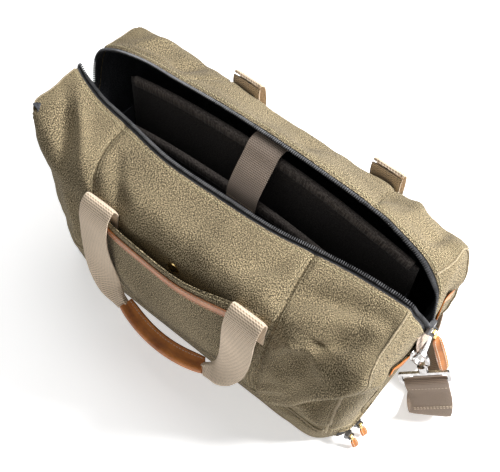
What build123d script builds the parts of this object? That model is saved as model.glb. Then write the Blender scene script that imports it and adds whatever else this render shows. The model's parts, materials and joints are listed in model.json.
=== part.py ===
from build123d import *
import os
from math import cos, radians, sin

# Soft canvas travel bag with an open zipped mouth and a padded laptop sleeve hung inside it.
# Millimetres. +X is the bag's length, -Y its front, +Z up. The origin is the middle of the
# footprint, on the surface that the bag stands on.

# ---- driving dimensions -------------------------------------------------------------------
band_top = 30.0          # seam between the base tub and the panels
shoulder_z = 200.0       # height where the front and back walls turn over into the top
back_rim_z = 246.0       # the back edge of the mouth, in the middle
canvas = 2.2             # canvas thickness
lining_cloth = 0.8       # lining thickness
skin = canvas + lining_cloth
webbing = 2.4            # thickness of the handle and shoulder webbing
handle_width = 38.0
shoulder_width = 45.0
sleeve_inside = (372.0, 24.0)   # clear length and depth of the laptop sleeve
pad = 6.0                # thickness of the sleeve's padding
sleeve_front_z = 185.0   # top edge of the sleeve's front pad
sleeve_back_z = 228.0    # top edge of the sleeve's back pad
sleeve_back_y = 20.0     # inner face of the back pad

# Plan of the bag at several heights: height, half length, corner radius.
plan_levels = [
    (0.0, 204.0, 30.0),
    (band_top, 208.0, 33.0),
    (110.0, 214.0, 42.0),
    (172.0, 222.0, 48.0),
    (260.0, 230.0, 50.0),
]
plan_half_depth = 120.0  # a little deeper than the walls, so that it only rounds the corners

# Cross-section of the bag as (y, z): each wall is an arc that bellies out, then turns over a
# shoulder arc into the top.
front_wall = [(-104.0, 0.0), (-116.0, 95.0), (-114.0, 166.0)]
front_shoulder = [(-114.0, 166.0), (-109.0, 189.0), (-96.0, shoulder_z)]
mouth_edges = [(-41.0, shoulder_z + 2), (35.0, back_rim_z)]
back_shoulder = [(84.0, 206.0), (101.0, 193.0), (110.0, 168.0)]
back_wall = [(110.0, 168.0), (113.0, 95.0), (102.0, 0.0)]

mouth_front = [(-262.0, -14.0), (-200.0, -24.0), (-100.0, -39.0), (0.0, -41.0), (100.0, -34.0)]
mouth_back = [(100.0, 34.0), (0.0, 35.0), (-100.0, 36.0), (-200.0, 38.0), (-262.0, 30.0)]
mouth_tip = (236.0, 2.0)
left_notch_z = 174.0     # how far the open zip runs down the left end
right_notch_z = 156.0    # and down the right end

panel_seam_top = 124.0   # the side panels' seams, at the mouth and at the front and back walls
panel_seam_wall = 110.0
gusset_x = 200.0         # the ends are one gusset each, between the side panels
gusset_half = 60.0

zip_tape_width = 8.0
zip_teeth_width = 3.0

handle_root_x = 95.0
front_hinge_y = -119.0
back_hinge_y = 111.0
handle_hinge_z = 198.0

os.makedirs("parts", exist_ok=True)


def save(part, name):
    """Labels a finished piece and writes it."""
    part.label = name
    export_step(part, f"parts/{name}.step")


# ---- the bag's form -----------------------------------------------------------------------
def bag_form(inset):
    """The closed form of the bag, every wall moved inwards by inset."""
    with BuildPart() as form:
        for height, half_length, radius in plan_levels:
            with BuildSketch(Plane.XY.offset(height)):
                RectangleRounded(
                    2 * (half_length - inset), 2 * (plan_half_depth - inset), radius - inset
                )
        loft()
        with BuildSketch(Plane.YZ) as section:
            with BuildLine():
                ThreePointArc(*front_wall)
                ThreePointArc(*front_shoulder)
                Polyline(front_shoulder[-1], *mouth_edges, back_shoulder[0])
                ThreePointArc(*back_shoulder)
                ThreePointArc(*back_wall)
                Line(back_wall[-1], front_wall[0])
            make_face()
            if inset:
                offset(amount=-inset, kind=Kind.INTERSECTION, mode=Mode.REPLACE)
        extrude(amount=300, both=True, mode=Mode.INTERSECT)
        with BuildSketch(Plane.XZ):
            with BuildLine():
                ThreePointArc((-250, 205 - inset), (0, back_rim_z + 1 - inset), (250, 205 - inset))
                Polyline((250, 205 - inset), (250, inset), (-250, inset), (-250, 205 - inset))
            make_face()
        extrude(amount=300, both=True, mode=Mode.INTERSECT)
    return form.part


def mouth_outline(inset):
    """Closes the mouth's lens-shaped plan, moved inwards by inset. Used inside a BuildLine."""
    tip = (mouth_tip[0] - 4 * inset, mouth_tip[1])
    front = [(x, y + inset) for x, y in mouth_front]
    back = [(x, y - inset) for x, y in mouth_back]
    Spline(*front, tip)
    Spline(tip, *back)
    Line(back[-1], front[0])


def mouth_cutter(inset):
    """A prism through the mouth, which reaches down both ends as far as the open zip does."""
    with BuildPart() as cutter:
        for low, sign in ((left_notch_z, -1), (right_notch_z, 1)):
            with BuildSketch(Plane.XY.offset(low)):
                with BuildLine():
                    mouth_outline(inset)
                make_face()
                with Locations((sign * 150, 0)):
                    Rectangle(300, 200, mode=Mode.INTERSECT)
            extrude(amount=120)
    return cutter.part


outer_form = bag_form(0)
canvas_form = bag_form(canvas)
inner_form = bag_form(skin)

with BuildPart() as canvas_shell:
    add(outer_form)
    add(canvas_form, mode=Mode.SUBTRACT)
    add(mouth_cutter(0), mode=Mode.SUBTRACT)

with BuildPart() as base_tub:
    add(canvas_shell.part)
    with BuildSketch():
        Rectangle(600, 400)
    extrude(amount=band_top, mode=Mode.INTERSECT)
save(base_tub.part, "base_tub")


def canvas_panel(name, corners):
    """One canvas panel above the base tub: the shell inside the plan polygon given."""
    with BuildPart() as panel:
        add(canvas_shell.part)
        with BuildSketch(Plane.XY.offset(band_top)):
            with BuildLine():
                Polyline(*corners, close=True)
            make_face()
        extrude(amount=300, mode=Mode.INTERSECT)
    save(panel.part, name)


for wall, side in (("front", -1), ("back", 1)):
    top_seam = (panel_seam_top, 0)
    wall_seam = (panel_seam_wall, side * 130)
    canvas_panel(
        f"{wall}_panel_center",
        [(-top_seam[0], 0), top_seam, wall_seam, (-wall_seam[0], wall_seam[1])],
    )
    for hand, end in (("left", -1), ("right", 1)):
        canvas_panel(
            f"{wall}_panel_{hand}",
            [
                (end * panel_seam_top, 0),
                (end * panel_seam_wall, side * 130),
                (end * 260, side * 130),
                (end * 260, side * (gusset_half + 12)),
                (end * gusset_x, side * gusset_half),
                (end * gusset_x, 0),
            ],
        )

for hand, end in (("left", -1), ("right", 1)):
    canvas_panel(
        f"end_gusset_{hand}",
        [
            (end * gusset_x, -gusset_half),
            (end * 260, -gusset_half - 12),
            (end * 260, gusset_half + 12),
            (end * gusset_x, gusset_half),
        ],
    )

with BuildPart() as lining:
    add(canvas_form)
    add(inner_form, mode=Mode.SUBTRACT)
    add(mouth_cutter(0), mode=Mode.SUBTRACT)
save(lining.part, "lining")

board_top = skin + 3.0
floor_top = board_top + 1.5


def floor_layer(name, low, high):
    """A flat layer on the bag's floor, just inside the walls."""
    with BuildPart() as layer:
        with BuildSketch(Plane.XY.offset(low)):
            with Locations((0, -1)):
                RectangleRounded(396, 196, 26)
        extrude(amount=high - low)
    save(layer.part, name)


floor_layer("bottom_board", skin, board_top)
floor_layer("base_pocket_divider", board_top, floor_top)

# ---- laptop sleeve ------------------------------------------------------------------------
sleeve_length, sleeve_depth = sleeve_inside
sleeve_front_y = sleeve_back_y - sleeve_depth
side_cloth = 1.6
sleeve_arch = 22.0       # how far the pads' top corners are below their middle
gusset_top = sleeve_front_z - sleeve_arch


def sleeve_pad(name, inner_y, outward, top):
    """A padded sleeve panel that stands on the bag's floor, its top edge slightly arched."""
    half = sleeve_length / 2 + side_cloth
    with BuildPart() as panel:
        with BuildSketch(Plane.XZ.offset(-inner_y)):
            with BuildLine():
                arch = ThreePointArc((-half, top - sleeve_arch), (0, top), (half, top - sleeve_arch))
                Polyline(arch @ 1, (half, floor_top), (-half, floor_top), arch @ 0)
            make_face()
        extrude(amount=-outward * pad)
        fillet(panel.faces().sort_by(Axis.Y)[-1 if outward > 0 else 0].edges(), 2.0)
    save(panel.part, name)


sleeve_pad("sleeve_back_pad", sleeve_back_y, 1, sleeve_back_z)
sleeve_pad("sleeve_front_pad", sleeve_front_y, -1, sleeve_front_z)

with BuildPart() as sleeve_gusset:
    with BuildSketch(Plane.XZ.offset(-sleeve_back_y)):
        with Locations((0, (floor_top + gusset_top) / 2)):
            Rectangle(sleeve_length + 2 * side_cloth, gusset_top - floor_top)
        with Locations((0, (floor_top + side_cloth + gusset_top) / 2)):
            Rectangle(sleeve_length, gusset_top - floor_top - side_cloth, mode=Mode.SUBTRACT)
    extrude(amount=sleeve_depth)
save(sleeve_gusset.part, "sleeve_gusset")


def edge_binding(name, inner_y, outward, top):
    """Bound edging that follows the arched top edge of a sleeve pad."""
    half = sleeve_length / 2 - 6
    drop = sleeve_arch * (half / (sleeve_length / 2 + side_cloth)) ** 2
    lift = 0.3
    height = 2.8
    middle_y = inner_y + outward * pad / 2
    with BuildPart() as binding:
        with BuildSketch(Plane.XZ.offset(-middle_y)):
            with BuildLine():
                low = ThreePointArc((-half, top - drop + lift), (0, top), (half, top - drop + lift))
                high = ThreePointArc(
                    (-half, top - drop + height), (0, top + height), (half, top - drop + height)
                )
                Line(low @ 0, high @ 0)
                Line(low @ 1, high @ 1)
            make_face()
        extrude(amount=pad / 2 - 0.3, both=True)
    save(binding.part, name)


edge_binding("sleeve_front_binding", sleeve_front_y, -1, sleeve_front_z)
edge_binding("sleeve_back_binding", sleeve_back_y, 1, sleeve_back_z)

# The closing strap: sewn to the back pad, it crosses the sleeve's mouth and grips the front pad.
tab_root = (sleeve_back_y - 1.6, sleeve_back_z + 4.2)
tab_bend = (sleeve_front_y - pad - 3.2, sleeve_front_z + 5.5)
tab_end = (sleeve_front_y - pad - 3.2, sleeve_front_z - 24)
with BuildPart() as sleeve_tab_strap:
    with BuildSketch(Plane.YZ):
        with BuildLine():
            FilletPolyline(tab_root, tab_bend, tab_end, radius=6)
            offset(amount=webbing / 2, side=Side.BOTH)
        make_face()
    extrude(amount=handle_width / 2, both=True)
save(sleeve_tab_strap.part, "sleeve_tab_strap")

patch_middle_z = tab_end[1] + 11


def patch(name, outer_y, thickness):
    """A hook-and-loop patch 32 by 18, its back at outer_y and its face towards -Y."""
    with BuildPart() as piece:
        with BuildSketch(Plane.XZ.offset(-outer_y)):
            with Locations((0, patch_middle_z)):
                RectangleRounded(32, 18, 2)
        extrude(amount=thickness)
    save(piece.part, name)


patch("loop_patch", sleeve_front_y - pad, 0.8)
patch("hook_patch", tab_end[0] + webbing / 2 + 0.8, 0.8)

with BuildPart() as tab_anchor:
    with BuildSketch(Plane.XZ.offset(-sleeve_back_y)):
        with Locations((0, sleeve_back_z - 12)):
            RectangleRounded(handle_width, 20, 2)
    extrude(amount=1.2)
save(tab_anchor.part, "sleeve_tab_anchor")

# ---- main zip -----------------------------------------------------------------------------
tape_form = bag_form(0.5)
tape_under_form = bag_form(1.5)
teeth_form = bag_form(-0.6)
teeth_under_form = bag_form(2.4)


def zip_half(name, side, form, under_form, near, far):
    """One half of the zip: the strip of the top between two insets of the mouth's outline."""
    with BuildPart() as half:
        add(form)
        add(under_form, mode=Mode.SUBTRACT)
        add(mouth_cutter(near), mode=Mode.INTERSECT)
        add(mouth_cutter(far), mode=Mode.SUBTRACT)
        with BuildSketch(Plane.XY.offset(100)):
            with Locations((0, mouth_tip[1] + side * 100)):
                Rectangle(600, 200)
        extrude(amount=300, mode=Mode.INTERSECT)
    save(half.part, name)


teeth_inset = zip_tape_width + zip_teeth_width
for half_name, half_side in (("front", -1), ("back", 1)):
    zip_half(f"main_zip_tape_{half_name}", half_side, tape_form, tape_under_form, 0, zip_tape_width)
    zip_half(
        f"main_zip_teeth_{half_name}", half_side, teeth_form, teeth_under_form, zip_tape_width, teeth_inset
    )

# ---- straps made of webbing ---------------------------------------------------------------
def ribbon(stations):
    """A flat strap through stations of (centre, facing direction, width, thickness)."""
    centres = [Vector(*centre) for centre, *_ in stations]
    last = len(centres) - 1
    with BuildPart() as strap:
        for index, (_, facing, width, thickness) in enumerate(stations):
            along = centres[min(index + 1, last)] - centres[max(index - 1, 0)]
            across = along.cross(Vector(*facing))
            with BuildSketch(Plane(origin=centres[index], x_dir=across, z_dir=along)):
                Rectangle(width, thickness)
        loft(ruled=True)
    return strap.part


# Each handle leg as (x, outwards from the hinge, down from the hinge, width, thickness).
handle_leg = [
    (95.0, 2.2, 2.0, 38.0, 2.4),
    (95.0, 14.5, 10.0, 38.0, 2.4),
    (95.0, 18.4, 34.0, 38.0, 2.4),
    (92.0, 18.8, 82.0, 36.0, 2.6),
    (76.0, 18.2, 120.0, 26.0, 4.0),
    (60.6, 17.2, 135.0, 14.0, 6.0),
]
grip_half = 56.5
grip_radius = 8.0
grip_sag = 8.0
handle_hinges = {"front": (-1, front_hinge_y), "back": (1, back_hinge_y)}
# Where each handle's anchor lies on the bag, from the stitching to the hinge, as (y, z).
anchor_lines = {
    "front": [(-80.0, 202.0), (-98.0, 201.8), (-110.0, 200.8), (-116.4, 199.2)],
    "back": [(79.0, 212.4), (87.4, 206.4), (96.0, 202.2), (103.0, 200.4), (108.4, 199.2)],
}

for wall, (side, hinge_y) in handle_hinges.items():
    legs = []
    anchors = []
    for end in (-1, 1):
        legs.append(
            ribbon(
                [
                    ((end * x, hinge_y + side * out, handle_hinge_z - down), (0, side, 0.35), width, thick)
                    for x, out, down, width, thick in handle_leg
                ]
            )
        )
        anchors.append(
            ribbon(
                [
                    ((end * handle_root_x, y, z), (0, side * 0.4, 1), handle_width, webbing)
                    for y, z in anchor_lines[wall]
                ]
            )
        )
    save(Compound(children=legs), f"{wall}_handle_webbing")
    save(Compound(children=anchors), f"{wall}_handle_anchors")

    grip_y = hinge_y + side * handle_leg[-1][1]
    grip_z = handle_hinge_z - handle_leg[-1][2]
    with BuildPart() as grip:
        with BuildLine() as grip_path:
            ThreePointArc(
                (-grip_half, grip_y, grip_z),
                (0, grip_y + side * grip_sag, grip_z - grip_sag),
                (grip_half, grip_y, grip_z),
            )
        with BuildSketch(Plane(origin=grip_path.line @ 0, z_dir=grip_path.line % 0)):
            Circle(grip_radius)
        sweep()
        fillet(grip.edges().filter_by(GeomType.CIRCLE).sort_by(Axis.X)[0], 2)
        fillet(grip.edges().filter_by(GeomType.CIRCLE).sort_by(Axis.X)[-1], 2)
    save(grip.part, f"{wall}_handle_grip")

# ---- front pocket -------------------------------------------------------------------------
pocket_half = 104.0
pocket_top = 182.0
pocket_bulge = 13.0      # how far the pocket's mouth stands out from the front panel


def pocket_outline(grow, high):
    """Closes the pocket's side outline, its front moved outwards by grow. Used in a BuildLine."""
    front = ThreePointArc(
        (-107 - grow, band_top + 1),
        (-115 - pocket_bulge - grow, 110),
        (-116 - pocket_bulge - grow, high),
    )
    Polyline(front @ 1, (-90, high), (-90, band_top + 1), front @ 0)


with BuildPart() as front_pocket_panel:
    with BuildSketch(Plane.YZ):
        with BuildLine():
            pocket_outline(0, pocket_top)
        make_face()
    extrude(amount=pocket_half, both=True)
    with BuildSketch(Plane.YZ):
        with BuildLine():
            pocket_outline(-canvas, pocket_top + 5)
        make_face()
    extrude(amount=pocket_half - canvas, both=True, mode=Mode.SUBTRACT)
    add(outer_form, mode=Mode.SUBTRACT)
save(front_pocket_panel.part, "front_pocket_panel")

trim_thickness = 1.5
with BuildPart() as front_pocket_trim:
    with BuildSketch(Plane.YZ):
        with BuildLine():
            pocket_outline(trim_thickness, pocket_top)
        make_face()
        with Locations((-115, 169)):
            Rectangle(60, 10, mode=Mode.INTERSECT)
    extrude(amount=pocket_half, both=True)
    with BuildSketch(Plane.YZ):
        with BuildLine():
            pocket_outline(0, pocket_top)
        make_face()
    extrude(amount=pocket_half, both=True, mode=Mode.SUBTRACT)
save(front_pocket_trim.part, "front_pocket_trim")

snap_z = 175.0
pocket_inner_y = -116.0 - pocket_bulge + canvas
for name, face_y, depth in (
    ("pocket_snap_stud", pocket_inner_y + 0.1, -1.8),
    ("pocket_snap_socket", -113.0, 3.0),
):
    with BuildPart() as snap:
        with BuildSketch(Plane.XZ.offset(-face_y)):
            with Locations((0, snap_z)):
                Circle(7.0)
        extrude(amount=depth)
        add(outer_form, mode=Mode.SUBTRACT)
    save(snap.part, name)

# ---- right end: slip pocket and base zip --------------------------------------------------
pocket_cloth = 1.6


def right_end_layer(name, low_inset, high_inset, low_z, high_z, half_width):
    """A layer laid on the right end wall between two outward offsets of the bag's form."""
    with BuildPart() as layer:
        add(bag_form(-high_inset))
        add(bag_form(-low_inset), mode=Mode.SUBTRACT)
        with BuildSketch(Plane.XY.offset(low_z)):
            with Locations((250, 0)):
                Rectangle(200, 2 * half_width)
        extrude(amount=high_z - low_z, mode=Mode.INTERSECT)
    save(layer.part, name)


base_zip_z = 16.0
right_end_layer("end_pocket_panel", 0, pocket_cloth, band_top + 0.5, 118, 58)
right_end_layer("end_pocket_trim", pocket_cloth, pocket_cloth + 1.4, 108, 118, 58)
right_end_layer("base_zip_tape", 0, 0.6, base_zip_z - 7, base_zip_z + 7, 86)
right_end_layer("base_zip_teeth", 0.6, 1.8, base_zip_z - 1.8, base_zip_z + 1.8, 84)


def zip_slider(size, centre, pin, pin_radius, name):
    """A zip slider: a rounded body with two lugs that carry the pull's cross pin."""
    deep, wide, tall = size
    with BuildPart() as slider:
        with BuildSketch(Plane.XY.offset(centre[2] - tall / 2)):
            with Locations((centre[0], centre[1])):
                RectangleRounded(deep, wide, min(deep, wide) / 4)
        extrude(amount=tall)
        lug_length = pin[0] + pin_radius + 0.8 - centre[0]
        with BuildSketch(Plane.XY.offset(pin[1] - 1.8)):
            with Locations(
                (centre[0] + lug_length / 2, centre[1] - wide / 2 + 1.4),
                (centre[0] + lug_length / 2, centre[1] + wide / 2 - 1.4),
            ):
                Rectangle(lug_length, 1.6)
        extrude(amount=3.6)
        with BuildSketch(Plane.XZ.offset(-(centre[1] + wide / 2 - 1.2))):
            with Locations(pin):
                Circle(pin_radius)
        extrude(amount=wide - 2.4)
    save(slider.part, name)


def zip_pull(pin, middle_y, pin_radius, lean, link, strip, link_name, pull_name):
    """The metal link that turns on the slider's pin, and the leather strip stitched to it."""
    link_length, link_width = link
    strip_length, strip_width, strip_thickness = strip
    down = Vector(sin(radians(lean)), 0, -cos(radians(lean)))
    outward = Vector(cos(radians(lean)), 0, sin(radians(lean)))
    flat = Plane(origin=(pin[0], middle_y, pin[1]), x_dir=outward, z_dir=(0, 1, 0))
    with BuildPart() as eye:
        with BuildSketch(flat.offset(-link_width / 2)):
            Circle(pin_radius + 1.3)
            with Locations((0, link_length / 2)):
                Rectangle(1.8, link_length)
            Circle(pin_radius + 0.06, mode=Mode.SUBTRACT)
        extrude(amount=link_width)
    save(eye.part, link_name)
    middle = flat.origin + down * (link_length + 0.2 + strip_length / 2)
    with BuildPart() as strip_part:
        with BuildSketch(Plane(origin=middle - outward * strip_thickness / 2, x_dir=down, z_dir=outward)):
            RectangleRounded(strip_length, strip_width, strip_width / 2 - 0.1)
        extrude(amount=strip_thickness)
    save(strip_part.part, pull_name)


main_pin = (230.8, 161.0)
slider_y = mouth_tip[1]
zip_slider((5.0, 11.0, 15.0), (225.4, slider_y, 166.0), main_pin, 0.9, "main_zip_slider")
zip_pull(main_pin, slider_y, 0.9, 28, (7.0, 4.6), (46.0, 9.0, 2.4), "main_zip_link", "main_zip_pull")

base_pin = (215.4, base_zip_z)
for number, slider_middle in ((1, -77.0), (2, -60.0)):
    zip_slider(
        (4.2, 9.0, 8.0), (211.0, slider_middle, base_zip_z), base_pin, 0.8, f"base_zip_slider_{number}"
    )
    zip_pull(
        base_pin,
        slider_middle,
        0.8,
        35,
        (5.0, 3.0),
        (10.5, 7.0, 1.8),
        f"base_zip_link_{number}",
        f"base_zip_pull_{number}",
    )


# ---- shoulder strap and its hardware, built at the right end and mirrored to the left ------
def save_both_ends(part, name):
    """Writes a right-end piece and its mirror image for the left end."""
    save(part, f"{name}_right")
    save(mirror(part, about=Plane.YZ), f"{name}_left")


ring_wire = 2.0
bar = Vector(222.6, 0, 134.0)          # middle of the D-ring's straight bar
ring_lean = 10.0
ring_down = Vector(sin(radians(ring_lean)), 0, -cos(radians(ring_lean)))
ring_drop = 22.0
ring_half = 15.0

with BuildPart() as d_ring_tab:
    with BuildSketch(Plane.XZ.offset(-12.5)):
        with Locations((219.6, 146.5)):
            Rectangle(7.2, 21)
        with Locations((bar.X, bar.Z)):
            Circle(ring_wire + 2.5)
            Circle(ring_wire + 0.06, mode=Mode.SUBTRACT)
    extrude(amount=25)
    add(outer_form, mode=Mode.SUBTRACT)
save_both_ends(d_ring_tab.part, "d_ring_tab")

ring_plane = Plane(origin=bar, x_dir=(0, 1, 0), z_dir=Vector(0, 1, 0).cross(-ring_down))
with BuildPart() as d_ring:
    with BuildLine(ring_plane) as bow:
        ThreePointArc((-ring_half, 0), (0, -ring_drop), (ring_half, 0))
    with BuildSketch(Plane(origin=bow.line @ 0, z_dir=bow.line % 0)):
        Circle(ring_wire)
    sweep()
    with BuildSketch(Plane.XZ.offset(ring_half + 1)):
        with Locations((bar.X, bar.Z)):
            Circle(ring_wire)
    extrude(amount=-2 * (ring_half + 1))
save_both_ends(d_ring.part, "d_ring")

# The snap hook hangs from the ring's bow. Distances along it run down from the bow.
hook_lean = 27.0
hook_down = Vector(sin(radians(hook_lean)), 0, -cos(radians(hook_lean)))
hook_out = Vector(cos(radians(hook_lean)), 0, sin(radians(hook_lean)))
bow_middle = bar + ring_down * ring_drop
hook_plane = Plane(origin=bow_middle, x_dir=hook_out, z_dir=(0, 1, 0))
hook_loop_middle = 6.5
gate_low, gate_high = 1.0, 13.0    # the gap in the loop that the gate closes
gate_play = (0.4, 1.3)             # clearance at the gate's free end and at its pivot end
swivel_radius = 2.04


def hook_loop():
    """The hook's oval loop as a sketch, open all round."""
    with Locations((0, hook_loop_middle)):
        Ellipse(11.0, 14.0)
        Ellipse(7.0, 10.0, mode=Mode.SUBTRACT)


with BuildPart() as snap_hook_body:
    with BuildSketch(hook_plane.offset(-2)):
        hook_loop()
        with Locations((9, (gate_low + gate_high) / 2)):
            Rectangle(11, gate_high - gate_low, mode=Mode.SUBTRACT)
    extrude(amount=4)
    with BuildSketch(Plane(origin=bow_middle + hook_down * 18.5, z_dir=hook_down)):
        Circle(5.0)
    extrude(amount=9.0)
    with BuildSketch(Plane(origin=bow_middle + hook_down * 21.5, z_dir=hook_down)):
        Circle(swivel_radius + 0.08)
    extrude(amount=10, mode=Mode.SUBTRACT)
save_both_ends(snap_hook_body.part, "snap_hook_body")

with BuildPart() as snap_hook_gate:
    with BuildSketch(hook_plane.offset(-1.5)):
        hook_loop()
        with Locations((9, (gate_low + gate_play[0] + gate_high - gate_play[1]) / 2)):
            Rectangle(10.2, gate_high - gate_low - sum(gate_play), mode=Mode.INTERSECT)
    extrude(amount=3)
save_both_ends(snap_hook_gate.part, "snap_hook_gate")

# The swivel's eye is turned about the hook's length, so that the strap faces forwards.
eye_turn = radians(60)
eye_across = Vector(0, 1, 0) * cos(eye_turn) + hook_out * sin(eye_turn)
eye_face = eye_across.cross(hook_down)
eye_wire = 3.5
eye_window = (shoulder_width + 1.5, 8.0)
eye_middle = 36.0
eye_plane = Plane(origin=bow_middle + hook_down * eye_middle, x_dir=eye_across, z_dir=eye_face)
with BuildPart() as snap_hook_eye:
    with BuildSketch(eye_plane.offset(-eye_wire / 2)):
        RectangleRounded(eye_window[0] + 2 * eye_wire, eye_window[1] + 2 * eye_wire, 3)
        RectangleRounded(eye_window[0], eye_window[1], 1, mode=Mode.SUBTRACT)
    extrude(amount=eye_wire)
    with BuildSketch(Plane(origin=bow_middle + hook_down * 21.7, z_dir=hook_down)):
        Circle(swivel_radius)
    extrude(amount=8)
save_both_ends(snap_hook_eye.part, "snap_hook_eye")

strap_bar = bow_middle + hook_down * (eye_middle + eye_window[1] / 2 + eye_wire / 2)
strap_start = strap_bar + hook_down * 4.0
strap_thin = webbing
strap_double = 2 * webbing
# Behind the bag the strap leans on the back wall, with its upper edge in and its lower edge out.
back_run_y = 133.2
back_run_z = 24.7
back_lean = 55.0
back_edge = Vector(0, -cos(radians(back_lean)), sin(radians(back_lean)))
back_facing = (0, -back_edge.Z, back_edge.Y)
# The right half of the strap: down from the hook, round a loop on the floor, on edge along the
# end wall and the back corner, then leaning on the back wall.
strap_half = [
    (tuple(strap_start), (-0.45, 0.87, -0.23), strap_double),
    ((256.4, 0, 53.6), (-0.45, 0.87, -0.23), strap_double),
    ((262.5, -0.6, 41), (-0.48, 0.86, -0.18), strap_double),
    ((265.5, -1.2, 31), (-0.5, 0.86, -0.12), strap_thin),
    ((267, -1.2, 20), (-0.54, 0.83, 0.1), strap_thin),
    ((265, 2.5, 11.2), (-0.42, 0.57, 0.7), strap_thin),
    ((259.5, 9.5, 7.8), (-0.08, -0.02, 1), strap_thin),
    ((251, 20.5, 10.6), (-0.34, -0.25, 0.91), strap_thin),
    ((242.5, 32, 18.6), (-0.61, -0.46, 0.64), strap_thin),
    ((233.5, 45, 23.6), (-0.78, -0.59, 0.21), strap_thin),
    ((225.5, 60, 24.5), (-0.92, -0.39, 0), strap_thin),
    ((219, 84, 24.5), (-0.97, -0.24, 0), strap_thin),
    ((212, 102, 24.5), (-0.85, -0.53, 0), strap_thin),
    ((196, 118, 24.5), (-0.5, -0.87, 0), strap_thin),
    ((170, 126, 24.5), (-0.22, -0.95, -0.15), strap_thin),
    ((140, 131, 24.6), (-0.1, -0.9, -0.4), strap_thin),
    ((110, back_run_y, back_run_z), back_facing, strap_thin),
    ((84, back_run_y, back_run_z), back_facing, strap_thin),
    ((0, back_run_y, back_run_z), back_facing, strap_thin),
]
with BuildPart() as end_loop:
    with BuildSketch(Plane(origin=strap_bar - eye_across * shoulder_width / 2, z_dir=eye_across)):
        Circle(eye_wire / 2 + 3.2)
        Circle(eye_wire / 2 + 0.9, mode=Mode.SUBTRACT)
    extrude(amount=shoulder_width)

right_half = ribbon([(centre, facing, shoulder_width, thick) for centre, facing, thick in strap_half])
with BuildPart() as shoulder_strap:
    for half_piece in (right_half, end_loop.part):
        add(half_piece)
        add(mirror(half_piece, about=Plane.YZ))
save(shoulder_strap.part, "shoulder_strap")

with BuildPart() as strap_adjuster:
    with BuildSketch(Plane(origin=(-12, back_run_y, back_run_z), x_dir=back_edge, z_dir=(1, 0, 0))):
        RectangleRounded(shoulder_width + 9, 7.6, 1.2)
        Rectangle(shoulder_width + 2.4, 4.6, mode=Mode.SUBTRACT)
    extrude(amount=24)
save(strap_adjuster.part, "strap_adjuster")
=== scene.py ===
import json
import math

import bmesh
import bpy
import numpy as np
from mathutils import Matrix, Vector, noise

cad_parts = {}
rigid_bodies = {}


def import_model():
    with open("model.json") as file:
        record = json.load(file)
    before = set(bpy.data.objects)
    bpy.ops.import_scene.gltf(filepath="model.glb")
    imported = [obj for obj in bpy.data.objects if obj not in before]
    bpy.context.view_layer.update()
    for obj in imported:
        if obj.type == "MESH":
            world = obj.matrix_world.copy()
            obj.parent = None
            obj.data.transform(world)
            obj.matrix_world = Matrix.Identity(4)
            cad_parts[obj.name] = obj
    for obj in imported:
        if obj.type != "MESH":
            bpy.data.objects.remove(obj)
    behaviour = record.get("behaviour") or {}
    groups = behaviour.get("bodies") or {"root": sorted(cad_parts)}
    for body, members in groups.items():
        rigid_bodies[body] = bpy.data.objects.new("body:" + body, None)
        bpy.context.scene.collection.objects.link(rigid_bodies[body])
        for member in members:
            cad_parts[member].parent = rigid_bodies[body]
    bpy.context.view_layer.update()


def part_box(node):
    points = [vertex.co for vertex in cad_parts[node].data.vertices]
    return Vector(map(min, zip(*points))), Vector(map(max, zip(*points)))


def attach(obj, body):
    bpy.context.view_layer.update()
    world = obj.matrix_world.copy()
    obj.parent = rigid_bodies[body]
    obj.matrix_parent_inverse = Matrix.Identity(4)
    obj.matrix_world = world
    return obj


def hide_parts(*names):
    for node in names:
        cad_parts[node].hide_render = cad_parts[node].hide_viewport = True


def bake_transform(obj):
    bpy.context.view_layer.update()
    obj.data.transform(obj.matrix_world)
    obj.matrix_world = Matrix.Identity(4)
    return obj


# Looks for the open canvas travel bag with its laptop sleeve. Shapes are worked out in
# millimetres and turned into metres when a mesh is made.

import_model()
MM = 0.001

# ---- the canvas surface ---------------------------------------------------------------------
# The bag is one closed ring of upright profiles. A station is the wall's (x, y) at mid height,
# the height where the straight wall ends, and five points above it: two on the shoulder, one on
# the top, the edge of the canvas at the zip, and the edge of the zip's teeth.
FRONT_SEAM_LEFT, FRONT_SEAM_RIGHT = "front seam left", "front seam right"
BACK_SEAM_LEFT, BACK_SEAM_RIGHT = "back seam left", "back seam right"
EDGE_FRONT_LEFT, EDGE_FRONT_RIGHT = "front left edge", "front right edge"
EDGE_BACK_LEFT, EDGE_BACK_RIGHT = "back left edge", "back right edge"

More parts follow.
